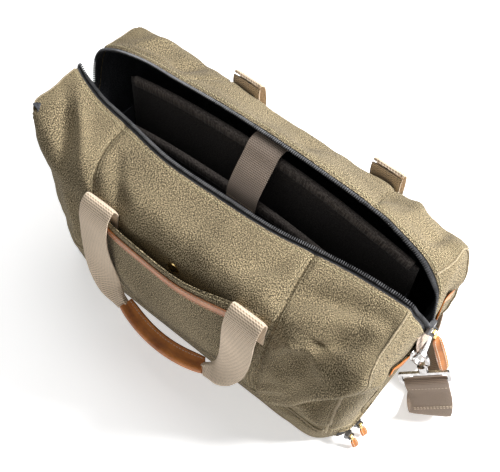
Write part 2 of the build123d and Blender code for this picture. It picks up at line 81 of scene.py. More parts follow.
STATIONS = [
    (EDGE_FRONT_LEFT, (-204, -82), 168,
     (-223, -84, 188), (-235, -77, 205), (-236, -45, 209), (-236, -18, 212), (-236, -7, 212)),
    ("front left corner", (-188, -105), 168,
     (-212, -97, 189), (-222, -85, 203), (-226, -48, 208), (-226, -21, 208), (-226, -10, 207)),
    ("front left", (-160, -117), 170,
     (-172, -113, 186), (-178, -99, 199), (-188, -62, 202), (-196, -28, 202), (-197, -17, 201)),
    (FRONT_SEAM_LEFT, (-106, -117), 170,
     (-110, -112, 188), (-122, -99, 200), (-139, -67, 202), (-146, -35, 201), (-147, -24, 200)),
    ("front 1", (-58, -117), 170,
     (-60, -111, 188), (-66, -99, 200), (-78, -70, 202), (-84, -44, 201), (-84, -33, 200)),
    ("front 2", (0, -117), 170,
     (0, -111, 188), (0, -99, 200), (-4, -70, 202), (-6, -43, 201), (-6, -32, 200)),
    ("front 3", (58, -117), 170,
     (60, -111, 188), (60, -99, 200), (58, -68, 202), (55, -40, 201), (55, -29, 200)),
    (FRONT_SEAM_RIGHT, (112, -117), 170,
     (118, -112, 188), (116, -100, 200), (109, -66, 202), (102, -32, 201), (101, -21, 200)),
    ("front right", (158, -117), 166,
     (163, -113, 182), (162, -100, 197), (157, -62, 202), (150, -26, 201), (149, -14, 200)),
    ("front right corner", (200, -107), 160,
     (203, -108, 174), (203, -97, 193), (200, -55, 201), (194, -24, 202), (193, -12, 201)),
    (EDGE_FRONT_RIGHT, (213, -85), 158,
     (214, -97, 172), (212, -91, 191), (210, -54, 200), (206, -23, 201), (204, -12, 200)),
    ("right 1", (215, -62), 152,
     (217, -70, 166), (215, -66, 184), (213, -46, 190), (211, -22, 192), (210, -11, 193)),
    ("right 2", (215.5, -36), 138,
     (219, -34, 156), (219, -30, 168), (218.5, -25, 176), (218, -18, 181), (217, -7.5, 184)),
    ("right 3", (216, -15), 124,
     (219.6, -15, 138), (220, -14, 148), (220.5, -13.5, 156), (221.4, -12.5, 163), (222.6, -3, 172)),
    ("right notch", (216, 2), 114,
     (219.4, 2, 125), (219.8, 2, 133), (220.2, 2, 140), (221, 2, 147), (223, 2, 158)),
    ("right 4", (216, 19), 124,
     (219.6, 19, 138), (220, 18, 148), (220.5, 17.5, 156), (221.4, 16.5, 163), (222.6, 7, 172)),
    ("right 5", (215.5, 40), 140,
     (219, 39, 160), (218.5, 38, 172), (217.5, 35, 181), (216, 29.5, 187), (215, 20, 188)),
    ("right 6", (215, 62), 156,
     (216, 66, 178), (213, 62, 192), (212, 49, 196), (210, 34, 197), (207, 23, 197)),
    (EDGE_BACK_RIGHT, (213, 80), 164,
     (211, 87, 182), (207, 77, 198), (208, 54, 201), (205, 34, 206), (201, 24, 204)),
    ("back right corner", (200, 103), 168,
     (201, 96, 183), (197, 79, 199), (196, 57, 208), (192, 36, 216), (188, 26, 215)),
    ("back right", (160, 110), 164,
     (161, 98, 184), (160, 79, 200), (156, 57, 214), (152, 38, 230), (150, 28, 232)),
    (BACK_SEAM_RIGHT, (110, 112.6), 168,
     (112, 103, 187), (114, 84, 203), (118, 61, 220), (122, 38, 237), (123, 28, 239)),
    ("back 1", (60, 112.6), 168,
     (60, 103, 187), (61, 83, 204), (62, 60, 223), (63, 38, 242), (63, 28, 244)),
    ("back 2", (0, 112.6), 168,
     (0, 102, 186), (0, 80, 204), (0, 59, 223), (0, 38, 244), (0, 28, 246)),
    ("back 3", (-60, 112.6), 168,
     (-60, 104, 187), (-61, 84, 204), (-62, 60, 223), (-63, 38, 243), (-63, 28, 245)),
    (BACK_SEAM_LEFT, (-110, 112.6), 168,
     (-112, 105, 187), (-115, 87, 203), (-119, 62, 221), (-122, 38, 238), (-123, 28, 240)),
    ("back left", (-162, 112), 168,
     (-168, 106, 188), (-171, 91, 203), (-173, 62, 217), (-175, 39, 232), (-176, 28, 235)),
    ("back left corner", (-200, 103), 168,
     (-219, 99, 190), (-223, 86, 205), (-224, 60, 212), (-222, 37, 220), (-220, 26, 222)),
    (EDGE_BACK_LEFT, (-213, 82), 168,
     (-230, 90, 190), (-235, 81, 206), (-236, 58, 209), (-235, 34, 214), (-233, 23, 215)),
    ("left 1", (-214, 62), 160,
     (-229, 68, 180), (-234, 63, 194), (-237, 50, 200), (-238, 31, 204), (-238, 20, 205)),
    ("left 2", (-214, 34), 144,
     (-222, 36, 166), (-227, 36, 177), (-232, 33, 184), (-236, 26, 189), (-238, 15, 192)),
    ("left notch", (-214, 7), 122,
     (-219.4, 7, 136), (-220.4, 7, 147), (-222.5, 7, 156), (-228, 7, 164), (-234, 7, 174)),
    ("left 3", (-214, -22), 144,
     (-222, -24, 166), (-227, -22, 177), (-232, -20, 184), (-237, -13, 190), (-239, -2, 193)),
    ("left 4", (-208, -58), 160,
     (-225, -64, 178), (-234, -60, 194), (-237, -44, 200), (-239, -17, 204), (-240, -6, 204)),
]

# Half length, front and back depth of the walls at some heights, as parts of those at mid height.
WALL_LEVELS = [
    (0, 204 / 214, 104 / 117, 102 / 112.6),
    (30, 208 / 214, 110 / 117, 108 / 112.6),
    (70, 211 / 214, 115.5 / 117, 112 / 112.6),
    (110, 1.0, 1.0, 1.0),
    (172, 222 / 214, 113.5 / 117, 109.5 / 112.6),
]
# The height of the tub's band, and the parts of the wall above it where its profile is held.
BAND_HEIGHT = 30
WALL_PARTS = (0.36, 0.72, 1.0)
# Rows of the mesh between each control level and the next, from the floor to the teeth.
ROWS = [10, 17, 17, 14, 9, 10, 16, 14, 3]
COLUMN_STEP = 2.8
# The rows of the walls, over which the columns are spaced.
WALL_ROWS = 60
# The part of the zip's tape, as placed by a station, that shows past the canvas edge.
TAPE_SHOWN = 0.42

# Folds pressed into or out of the canvas: the line they follow, half width, and height outwards,
# before they are all made stronger by one factor.
FOLD_STRENGTH = 1.5
FOLDS = [
    # the overhanging crest at the front right corner, and the hollow under it
    ([(116, -113, 42), (140, -116, 62), (162, -118, 104), (180, -116, 146), (198, -108, 174),
      (208, -98, 184)], 8, 7),
    ([(150, -112, 58), (174, -114, 84), (190, -112, 118), (201, -106, 142)], 15, -13),
    ([(128, -114, 44), (150, -112, 58), (172, -110, 74)], 5, 4.5),
    ([(110, -113, 50), (130, -118, 84), (150, -120, 114)], 4.5, 3),
    ([(204, -90, 70), (190, -106, 54), (168, -112, 46)], 8, -4),
    # the two long hollows on the front right of the top, and the swelling between them
    ([(110, -86, 203), (123, -66, 204), (139, -54, 204), (155, -46, 202), (184, -38, 200),
      (196, -38, 201)], 12, -7),
    ([(132, -110, 188), (165, -84, 201), (192, -66, 199)], 26, -5.5),
    ([(122, -104, 200), (143, -84, 205), (167, -66, 203), (192, -52, 200)], 9, 3),
    ([(136, -117, 138), (150, -116, 166), (162, -104, 192), (173, -84, 199), (184, -70, 200)],
     13, -8.5),
    ([(128, -115, 160), (138, -116, 180), (147, -115, 172)], 5, 3.5),
    ([(46, -100, 199), (65, -80, 202), (80, -60, 202), (90, -46, 202)], 8, -2.6),
    # the front left: a ridge from the mouth's corner to the handle, with hollows beside it
    ([(-226, -20, 210), (-200, -42, 205), (-178, -62, 203), (-153, -85, 204), (-126, -108, 194)], 7, 3.8),
    ([(-224, -40, 207), (-198, -68, 204), (-168, -96, 199), (-150, -112, 182)], 9, -4),
    ([(-122, -66, 203), (-100, -90, 202), (-80, -105, 196), (-72, -112, 178)], 8, -4),
    ([(-190, -112, 160), (-182, -116, 100), (-186, -112, 50)], 12, -5),
    ([(-150, -116, 176), (-140, -118, 120), (-150, -114, 60)], 10, 3.5),
    # the back and the ends
    ([(-229, 29, 218), (-200, 40, 222), (-176, 46, 226), (-150, 52, 226)], 7, 3.2),
    ([(140, 108, 180), (150, 82, 208), (146, 52, 222)], 9, 4.5),
    ([(178, 104, 184), (184, 80, 206), (178, 52, 214)], 9, -5),
    ([(116, 100, 190), (122, 76, 210), (118, 52, 230)], 8, -3.4),
    ([(-150, 108, 176), (-146, 80, 210), (-152, 50, 224)], 10, -4.4),
    ([(-196, 104, 180), (-200, 80, 206), (-204, 50, 214)], 10, 3.6),
    ([(30, 100, 196), (20, 76, 214), (30, 50, 232)], 12, -3),
    ([(217, -52, 150), (218, -40, 110), (214, -48, 66)], 9, -4.5),
    ([(217, 50, 156), (218, 38, 112), (214, 46, 66)], 10, -4.5),
    ([(212, -92, 20), (216, -78, 20), (217, -60, 20), (217, -38, 20)], 16, 3),
    ([(212, 74, 150), (212, 84, 100), (208, 82, 60)], 9, 4),
    ([(-222, 40, 150), (-218, 30, 100), (-212, 40, 60)], 10, -5),
    ([(-222, -40, 150), (-218, -30, 100), (-212, -40, 60)], 10, -5),
    ([(60, 113, 150), (20, 115, 90), (50, 112, 50)], 14, 4),
    ([(-70, 113, 140), (-40, 115, 90), (-80, 112, 50)], 14, -4.5),
    ([(150, 112, 140), (170, 108, 100), (150, 110, 54)], 12, -4.5),
    ([(-160, 112, 130), (-176, 108, 90), (-160, 108, 50)], 11, 4),
]


def tangents(points, t):
    """The slope at each point of a smooth curve through points at the parameters t."""
    step = np.diff(t)
    slope = np.diff(points, axis=0) / step.reshape((-1,) + (1,) * (points.ndim - 1))
    out = np.empty_like(points)
    out[0], out[-1] = slope[0], slope[-1]
    for i in range(1, len(points) - 1):
        before, after = step[i - 1], step[i]
        out[i] = (slope[i - 1] * after + slope[i] * before) / (before + after)
    return out


def through(points, t, where):
    """Points at the parameters where, on the smooth curve through points at the parameters t."""
    points = np.asarray(points, float)
    slopes = tangents(points, t)
    index = np.clip(np.searchsorted(t, where, side="right") - 1, 0, len(t) - 2)
    span = (t[index + 1] - t[index])
    s = (where - t[index]) / span
    shape = (-1,) + (1,) * (points.ndim - 1)
    s, span = s.reshape(shape), span.reshape(shape)
    return (
        (2 * s**3 - 3 * s**2 + 1) * points[index]
        + (s**3 - 2 * s**2 + s) * span * slopes[index]
        + (3 * s**2 - 2 * s**3) * points[index + 1]
        + (s**3 - s**2) * span * slopes[index + 1]
    )


def parameters(points):
    """Running chord lengths of a row of points."""
    lengths = np.linalg.norm(np.diff(np.asarray(points, float), axis=0), axis=-1)
    return np.concatenate([[0.0], np.cumsum(lengths)])


def profile(wall, wall_top, upper):
    """A station's ten control points, from the floor to the teeth."""
    levels = np.array(WALL_LEVELS).T
    depths = levels[2] if wall[1] < 0 else levels[3]
    heights = [0, BAND_HEIGHT] + [BAND_HEIGHT + (wall_top - BAND_HEIGHT) * part for part in WALL_PARTS]
    points = [(wall[0] * np.interp(z, levels[0], levels[1]), wall[1] * np.interp(z, levels[0], depths), z)
              for z in heights]
    points = np.array(points + list(upper), float)
    points[-2] = points[-1] + TAPE_SHOWN * (points[-2] - points[-1])
    return points


def distance_to_line(grid, line):
    """Distance from each point of a grid to a polyline, and how far along it, from 0 to 1."""
    line = np.asarray(line, float)
    best = np.full(grid.shape[:-1], 1e9)
    along = np.zeros(grid.shape[:-1])
    for i in range(len(line) - 1):
        a, d = line[i], line[i + 1] - line[i]
        s = np.clip(((grid - a) @ d) / (d @ d), 0, 1)
        gap = np.linalg.norm(grid - (a + s[..., None] * d), axis=-1)
        nearer = gap < best
        best = np.where(nearer, gap, best)
        along = np.where(nearer, (i + s) / (len(line) - 1), along)
    return best, along


def grid_normals(grid):
    """Outward unit normals of the ring grid."""
    around = np.roll(grid, -1, axis=0) - np.roll(grid, 1, axis=0)
    upward = np.gradient(grid, axis=1)
    normal = np.cross(around, upward)
    return normal / np.maximum(np.linalg.norm(normal, axis=-1, keepdims=True), 1e-9)


def ring_grid():
    """The canvas surface as a ring of columns, and the column of each station by name."""
    profiles = [profile(*station[1:3], station[3:]) for station in STATIONS]
    row_at = np.concatenate([np.linspace(0, 1, n, endpoint=False) + k for k, n in enumerate(ROWS)])
    row_at = np.append(row_at, len(ROWS))
    lines = []
    for points in profiles:
        t = parameters(points)
        lines.append(through(points, t, np.interp(row_at, range(len(points)), t)))
    lines = np.array(lines)
    closed = np.concatenate([lines, lines[:1]])
    spans = np.linalg.norm(np.diff(closed, axis=0), axis=-1)[:, :WALL_ROWS].mean(axis=1)
    padded = np.concatenate([lines[-3:], lines, lines[:4]])
    padded_spans = np.linalg.norm(np.diff(padded, axis=0), axis=-1).mean(axis=1)
    t = np.concatenate([[0.0], np.cumsum(padded_spans)])
    columns, where = {}, []
    for i, station in enumerate(STATIONS):
        columns[station[0]] = len(where)
        count = max(3, round(spans[i] / COLUMN_STEP))
        where += list(np.linspace(t[i + 3], t[i + 4], count, endpoint=False))
    return through(padded, t, np.array(where)), columns


# Height in millimetres and number per metre of the swellings in slack cloth.
RUMPLES = ((2.6, 15), (1.7, 36), (0.4, 90))


def rumple(grid):
    """Small uneven hollows and swellings, the same on every run."""
    out = np.zeros(grid.shape[:-1])
    for index in np.ndindex(out.shape):
        place = Vector(grid[index]) * MM
        out[index] = sum(size * noise.noise(place * pitch) for size, pitch in RUMPLES)
    return out


grid, columns = ring_grid()
# The wall rounds into the underside.
FOOT_RADIUS = 5
foot = np.clip(FOOT_RADIUS - grid[..., 2], 0, FOOT_RADIUS)
grid[..., :2] *= 1 - ((FOOT_RADIUS - np.sqrt(FOOT_RADIUS**2 - foot**2)) / 110)[..., None]
# The base seam climbs towards the front right corner.
climb = np.clip((grid[..., 0] - 100) / 50, 0, 1) * np.clip((-grid[..., 1] - 72) / 26, 0, 1)
grid[..., 2] += 13 * climb * np.exp(-(((grid[..., 2] - 34) / 24) ** 2))
row_of = [0] + list(np.cumsum(ROWS))
BAND, SHOULDER, CANVAS_EDGE, TEETH = (row_of[k] for k in (1, 6, 8, 9))
column_count, row_count = grid.shape[:2]

normals = grid_normals(grid)
height = rumple(grid)
for line, width, lift in FOLDS:
    gap, along = distance_to_line(grid, line)
    height += FOLD_STRENGTH * lift * np.exp(-((gap / width) ** 2)) * (0.45 + 0.55 * np.sin(np.pi * along))
# Near the zip and the floor the canvas lies flat, and the hardware's seats stay where they are.
rows = np.arange(row_count)
calm = np.clip((row_count - 1 - rows) / 14, 0, 1) * np.clip(rows / 12, 0, 1)
height *= calm
for seat, reach in (((219.5, 2, 146), 26), ((-219.5, 2, 146), 26), ((219.5, 2, 80), 60)):
    gap = np.linalg.norm(grid - np.array(seat, float), axis=-1)
    height *= np.clip(gap / reach - 0.25, 0, 1) ** 0.5
grid = grid + normals * height[..., None]


def groove(grid, gap, depth, width):
    """Pulls the surface in by depth along a line, given each point's distance from the line."""
    pull = depth * np.exp(-((gap / width) ** 2))
    return grid - grid_normals(grid) * pull[..., None]


SEAM_COLUMNS = [columns[name] for name in (
    FRONT_SEAM_LEFT, FRONT_SEAM_RIGHT, BACK_SEAM_LEFT, BACK_SEAM_RIGHT)]
EDGE_COLUMNS = [columns[name] for name in (
    EDGE_FRONT_LEFT, EDGE_FRONT_RIGHT, EDGE_BACK_LEFT, EDGE_BACK_RIGHT)]
# The two curved seams of the front, as points on the surface, in order.
OUTLINE_LEFT = [(-235, -77, 205), (-222, -88, 184), (-205, -99, 160), (-185, -108, 134),
                (-162, -113, 100), (-138, -113, 68), (-118, -111, 44), (-104, -110, 31)]
OUTLINE_RIGHT = [(213, -92, 186), (208, -98, 160), (200, -103, 128), (197, -103, 90),
                 (196, -100, 56), (194, -97, 31)]

for column in SEAM_COLUMNS:
    gap, _ = distance_to_line(grid, grid[column, BAND:CANVAS_EDGE:6])
    pucker = 1.0 + 0.45 * np.sin(grid[..., 2] * 0.42 + grid[..., 0] * 0.05)
    grid = groove(grid, gap, 2.3 * pucker, 3.4)
for line in (OUTLINE_LEFT, OUTLINE_RIGHT):
    gap, _ = distance_to_line(grid, line)
    grid = groove(grid, gap, 2.2, 3.6)
band_gap, _ = distance_to_line(grid, np.concatenate([grid[::8, BAND], grid[:1, BAND]]))
grid = groove(grid, band_gap, 2.2, 3.4)
normals = grid_normals(grid)

# How far along the cloth each grid point lies, for the weave.
around_mm = parameters(np.concatenate([grid[:, WALL_ROWS // 2], grid[:1, WALL_ROWS // 2]]))
up_mm = np.concatenate(
    [np.zeros((column_count, 1)), np.cumsum(np.linalg.norm(np.diff(grid, axis=1), axis=-1), axis=1)],
    axis=1,
)


def surface(column, row, lift=0.0):
    """A point lifted off the canvas at fractional grid places, and the normal there."""
    column, row = np.broadcast_arrays(np.asarray(column, float), np.asarray(row, float))
    row = np.clip(row, 0, row_count - 1.001)
    c0 = np.floor(column).astype(int)
    r0 = np.floor(row).astype(int)
    cf, rf = (column - c0)[..., None], (row - r0)[..., None]
    c0, c1 = c0 % column_count, (c0 + 1) % column_count

    def blend(values):
        low = values[c0, r0] * (1 - cf) + values[c1, r0] * cf
        high = values[c0, r0 + 1] * (1 - cf) + values[c1, r0 + 1] * cf
        return low * (1 - rf) + high * rf

    normal = blend(normals)
    normal /= np.maximum(np.linalg.norm(normal, axis=-1, keepdims=True), 1e-9)
    return blend(grid) + normal * lift, normal


def on_surface(points, step=4.0):
    """Grid places (column, row) that follow a polyline laid on the surface."""
    points = np.asarray(points, float)
    t = parameters(points)
    dense = through(points, t, np.linspace(0, t[-1], max(3, int(t[-1] / step))))
    places = []
    for p in dense:
        gap = np.linalg.norm(grid - p, axis=-1)
        near = np.argsort(gap.ravel())[:4]
        c, r = np.unravel_index(near, gap.shape)
        c = np.where(c - c[0] > column_count / 2, c - column_count, c)
        c = np.where(c[0] - c > column_count / 2, c + column_count, c)
        weight = 1 / (gap.ravel()[near] + 0.3)
        places.append((np.average(c, weights=weight), np.average(r, weights=weight)))
    places = np.array(places)
    for _ in range(3):
        places[1:-1] = (places[:-2] + 2 * places[1:-1] + places[2:]) / 4
    return places


# ---- materials ------------------------------------------------------------------------------
def new_material(name):
    """A node material with one Principled shader. Returns the material, its tree and shader."""
    material = bpy.data.materials.new(name)
    material.use_nodes = True
    tree = material.node_tree
    return material, tree, tree.nodes["Principled BSDF"]


def add(tree, kind, links=()):
    """Adds a node, and links (input name, output socket) pairs to it."""
    node = tree.nodes.new(kind)
    for key, socket in links:
        tree.links.new(socket, node.inputs[key])
    return node


def connect(tree, node, values):
    """Sets or links a node's inputs from (input, value or socket) pairs."""
    for slot, value in values:
        if isinstance(value, bpy.types.NodeSocket):
            tree.links.new(value, node.inputs[slot])
        else:
            node.inputs[slot].default_value = (*value, 1.0) if isinstance(value, tuple) else value


def settings(node, **values):
    """Sets a node's inputs to constants, by their names with underscores for spaces."""
    for key, value in values.items():
        node.inputs[key.replace("_", " ")].default_value = value


def cloth_place(tree, along=1.0, across=1.0):
    """Metres along the cloth, stretched by the two factors."""
    uv = add(tree, "ShaderNodeUVMap")
    mapping = add(tree, "ShaderNodeMapping", [("Vector", uv.outputs["UV"])])
    mapping.inputs["Scale"].default_value = (along, across, 1.0)
    return mapping.outputs["Vector"]


def ramp(tree, fac, stops):
    """A colour ramp with (position, colour) stops."""
    node = add(tree, "ShaderNodeValToRGB", [("Fac", fac)])
    elements = node.color_ramp.elements
    while len(elements) < len(stops):
        elements.new(0.5)
    for element, (position, colour) in zip(elements, stops):
        element.position = position
        element.color = (*colour, 1.0)
    return node.outputs["Color"]


def mixed(tree, mode, fac, first, second):
    """Mixes two colours; fac, first and second are sockets or plain values."""
    node = tree.nodes.new("ShaderNodeMix")
    node.data_type = "RGBA"
    node.blend_type = mode
    connect(tree, node, ((0, fac), (6, first), (7, second)))
    return node.outputs[2]


def math_node(tree, operation, first, second):
    """One arithmetic node on two sockets or numbers."""
    node = tree.nodes.new("ShaderNodeMath")
    node.operation = operation
    connect(tree, node, ((0, first), (1, second)))
    return node.outputs[0]


def weighed(tree, first, part, second, other_part):
    """The sum of two sockets, each times its part."""
    return math_node(tree, "ADD", math_node(tree, "MULTIPLY", first, part),
                     math_node(tree, "MULTIPLY", second, other_part))


def noise_at(tree, vector, scale, detail=3.0, roughness=0.55):
    """Noise texture value at a place."""
    node = add(tree, "ShaderNodeTexNoise", [("Vector", vector)])
    settings(node, Scale=scale, Detail=detail, Roughness=roughness)
    return node.outputs["Fac"]


def bands(tree, vector, pitch_mm, direction):
    """Sine bands of one pitch across a place in metres."""
    node = add(tree, "ShaderNodeTexWave", [("Vector", vector)])
    node.bands_direction = direction
    settings(node, Scale=2 * math.pi / (20 * pitch_mm * MM))
    return node.outputs["Fac"]


def bump(tree, shader, height, distance_mm, strength=1.0):
    """Raises the shader's surface by a height socket."""
    node = add(tree, "ShaderNodeBump", [("Height", height)])
    settings(node, Strength=strength, Distance=distance_mm * MM)
    tree.links.new(node.outputs["Normal"], shader.inputs["Normal"])


def object_place(tree):
    """Object coordinates in metres, for finishes that don't follow a weave."""
    return add(tree, "ShaderNodeTexCoord").outputs["Object"]


def woven(name, dark, middle, light, pitch, fleck, roughness=0.95, raise_mm=0.3, sheen=0.12):
    """Cloth woven from mixed threads: two crossed sets of bands and coloured flecks."""
    material, tree, shader = new_material(name)
    place = cloth_place(tree)
    warp = noise_at(tree, cloth_place(tree, 1.0, 0.8), fleck, 2.0, 0.7)
    weft = noise_at(tree, cloth_place(tree, 0.8, 1.0), fleck * 0.93, 2.0, 0.7)
    marl = math_node(tree, "MULTIPLY", math_node(tree, "ADD", warp, weft), 0.5)
    threads = ramp(tree, marl, [(0.43, dark), (0.50, middle), (0.57, light)])
    worn = noise_at(tree, object_place(tree), 11.0, 4.0)
    shade = ramp(tree, worn, [(0.32, (0.80, 0.79, 0.77)), (0.68, (1.16, 1.15, 1.12))])
    colour = mixed(tree, "MULTIPLY", 1.0, threads, shade)
    across = bands(tree, place, pitch, "X")
    along = bands(tree, place, pitch, "Y")
    weave = math_node(tree, "MAXIMUM", across, along)
    gaps = ramp(tree, weave, [(0.0, (0.45, 0.45, 0.45)), (0.9, (1, 1, 1))])
    colour = mixed(tree, "MULTIPLY", 0.35, colour, gaps)
    tree.links.new(colour, shader.inputs["Base Color"])
    settings(shader, Roughness=roughness, Specular_IOR_Level=0.2, Sheen_Weight=sheen, Sheen_Roughness=0.5)
    bump(tree, shader, math_node(tree, "ADD", weave, math_node(tree, "MULTIPLY", marl, 0.8)), raise_mm)
    return material


def ribbed(name, dark, light, rib, raise_mm=0.45):
    """Webbing: ribs across the strap, each crossed by slanting threads."""
    material, tree, shader = new_material(name)
    place = cloth_place(tree)
    ribs = bands(tree, place, rib, "X")
    twill = bands(tree, cloth_place(tree, 1.0, 0.8), rib * 0.62, "DIAGONAL")
    marl = noise_at(tree, cloth_place(tree, 0.5, 1.0), 700.0)
    weave = weighed(tree, ribs, 0.62, twill, 0.38)
    colour = ramp(tree, weighed(tree, weave, 0.7, marl, 0.3), [(0.12, dark), (0.62, light)])
    worn = noise_at(tree, object_place(tree), 16.0, 4.0)
    soil = ramp(tree, worn, [(0.3, (0.86, 0.85, 0.83)), (0.7, (1.06, 1.05, 1.04))])
    tree.links.new(mixed(tree, "MULTIPLY", 1.0, colour, soil), shader.inputs["Base Color"])
    settings(shader, Roughness=0.85, Specular_IOR_Level=0.25, Sheen_Weight=0.15)
    bump(tree, shader, weave, raise_mm)
    return material


def leather_finish(name, deep, light, roughness=0.42):
    """Vegetable-tanned leather: cloudy colour, fine grain and a soft shine."""
    material, tree, shader = new_material(name)
    place = object_place(tree)
    cloud = noise_at(tree, place, 45.0, 5.0, 0.6)
    colour = ramp(tree, cloud, [(0.3, deep), (0.7, light)])
    grain = add(tree, "ShaderNodeTexVoronoi", [("Vector", place)])
    settings(grain, Scale=1300.0)
    pores = grain.outputs["Distance"]
    specks = ramp(tree, pores, [(0.0, (0.6, 0.55, 0.5)), (0.35, (1, 1, 1))])
    colour = mixed(tree, "MULTIPLY", 0.3, colour, specks)
    tree.links.new(colour, shader.inputs["Base Color"])
    settings(shader, Roughness=roughness, Coat_Weight=0.15, Coat_Roughness=0.35)
    bump(tree, shader, math_node(tree, "ADD", pores, cloud), 0.12, 0.7)
    return material


def metal_finish(name, dark, light, roughness):
    """Plated metal with faint rubbed patches."""
    material, tree, shader = new_material(name)
    place = object_place(tree)
    rub = noise_at(tree, place, 160.0, 4.0)
    tree.links.new(ramp(tree, rub, [(0.35, dark), (0.7, light)]), shader.inputs["Base Color"])
    settings(shader, Metallic=1.0)
    gloss = ramp(tree, rub, [(0.3, (roughness * 0.8,) * 3), (0.75, (roughness * 1.35,) * 3)])
    tree.links.new(gloss, shader.inputs["Roughness"])
    bump(tree, shader, noise_at(tree, place, 900.0, 2.0), 0.03, 0.5)
    return material


# Dark, middle and light threads, the weave's pitch in millimetres and the flecks per metre.
canvas_cloth = woven("canvas", (0.009, 0.007, 0.004), (0.104, 0.083, 0.048), (0.58, 0.47, 0.295),
                     1.3, 1100.0, raise_mm=0.06, sheen=0.03)
# The piping is coloured far lighter than the canvas: worn edges, and a painted highlight along the raised
# seams.
highlit_piping_cloth = woven("piping", (0.16, 0.125, 0.075), (0.36, 0.295, 0.19), (0.62, 0.52, 0.36),
                     1.2, 1150.0)
lining_cloth = woven("lining", (0.022, 0.024, 0.030), (0.046, 0.050, 0.060), (0.080, 0.085, 0.097),
                     0.8, 900.0, 0.7, 0.1)
pad_cloth = woven("padding", (0.020, 0.017, 0.016), (0.042, 0.036, 0.034), (0.075, 0.066, 0.062),
                  1.3, 700.0, 0.8, 0.2)
binding_cloth = woven("binding", (0.045, 0.037, 0.033), (0.085, 0.073, 0.066), (0.15, 0.13, 0.12),
                      1.5, 700.0, 0.7, 0.25)
tape_cloth = woven("tape", (0.018, 0.018, 0.020), (0.036, 0.036, 0.040), (0.065, 0.065, 0.070),
                   1.1, 800.0, 0.75, 0.15)
handle_webbing = ribbed("webbing", (0.26, 0.19, 0.125), (0.80, 0.655, 0.50), 2.3)
shoulder_webbing = ribbed("shoulder_webbing", (0.12, 0.085, 0.062), (0.345, 0.262, 0.20), 1.5)
tab_webbing = ribbed("tab_webbing", (0.22, 0.165, 0.13), (0.60, 0.485, 0.40), 2.1)
tan_leather = leather_finish("leather", (0.30, 0.080, 0.008), (0.66, 0.225, 0.032))
pale_leather = leather_finish("trim_leather", (0.42, 0.15, 0.06), (0.62, 0.28, 0.14), 0.45)
leather_edge = leather_finish("leather_edge", (0.36, 0.12, 0.03), (0.50, 0.19, 0.05), 0.35)
zip_metal = metal_finish("zip_metal", (0.08, 0.08, 0.083), (0.20, 0.20, 0.207), 0.6)
slider_metal = metal_finish("slider_metal", (0.10, 0.10, 0.105), (0.22, 0.22, 0.225), 0.32)
hardware_metal = metal_finish("hardware", (0.30, 0.29, 0.285), (0.56, 0.55, 0.54), 0.24)
brass_metal = metal_finish("brass_metal", (0.48, 0.33, 0.12), (0.78, 0.58, 0.26), 0.26)
board_finish = leather_finish("board_finish", (0.02, 0.02, 0.02), (0.05, 0.05, 0.05), 0.6)


def thread_finish(name, colour):
    """Twisted sewing thread."""
    material, tree, shader = new_material(name)
    twist = bands(tree, object_place(tree), 0.5, "DIAGONAL")
    dark = tuple(0.55 * part for part in colour)
    tree.links.new(ramp(tree, twist, [(0.1, dark), (0.8, colour)]), shader.inputs["Base Color"])
    settings(shader, Roughness=0.7)
    bump(tree, shader, twist, 0.06)
    return material


olive_thread = thread_finish("olive_thread", (0.36, 0.30, 0.18))
rim_thread = thread_finish("rim_thread", (0.66, 0.57, 0.34))
cream_thread = thread_finish("cream_thread", (0.82, 0.68, 0.50))
dark_thread = thread_finish("dark_thread", (0.10, 0.095, 0.095))


# ---- making meshes --------------------------------------------------------------------------
def make_piece(name, points, faces, material, body="bag", stands_for=(), slot=None, uv=None,
               blended=None, sharp=48, weld=False):
    """Makes one visible piece from points in millimetres, and ties it to its body; where blended is set,
    it is left in place and tied to no body.
    """
    mesh = bpy.data.meshes.new(name)
    mesh.from_pydata((np.asarray(points, float) * MM).tolist(), [], [tuple(f) for f in faces])
    if uv is not None:
        layer = mesh.uv_layers.new(name="cloth")
        corners = np.zeros(len(mesh.loops), dtype=np.int32)
        mesh.loops.foreach_get("vertex_index", corners)
        layer.data.foreach_set("uv", (np.asarray(uv, float)[corners] * MM).astype(np.float32).ravel())
    if weld:
        work = bmesh.new()
        work.from_mesh(mesh)
        bmesh.ops.remove_doubles(work, verts=work.verts, dist=1e-6)
        work.to_mesh(mesh)
        work.free()
    mesh.shade_smooth()
    mesh.set_sharp_from_angle(angle=math.radians(sharp))
    mesh.materials.append(material)
    piece = bpy.data.objects.new(name, mesh)
    bpy.context.scene.collection.objects.link(piece)
    if blended:
        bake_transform(piece)
    else:
        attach(piece, body)
    if stands_for:
        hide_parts(*stands_for)
    return piece


def grid_faces(n, m, wrap=False, flip=False, start=0):
    """Quads over an n by m grid of points that starts at index start."""
    i = np.arange(n if wrap else n - 1)[:, None]
    j = np.arange(m - 1)[None, :]
    a, b = start + i * m + j, start + ((i + 1) % n) * m + j
    quads = np.stack([a, b, b + 1, a + 1], axis=-1).reshape(-1, 4)
    return (quads[:, ::-1] if flip else quads).tolist()


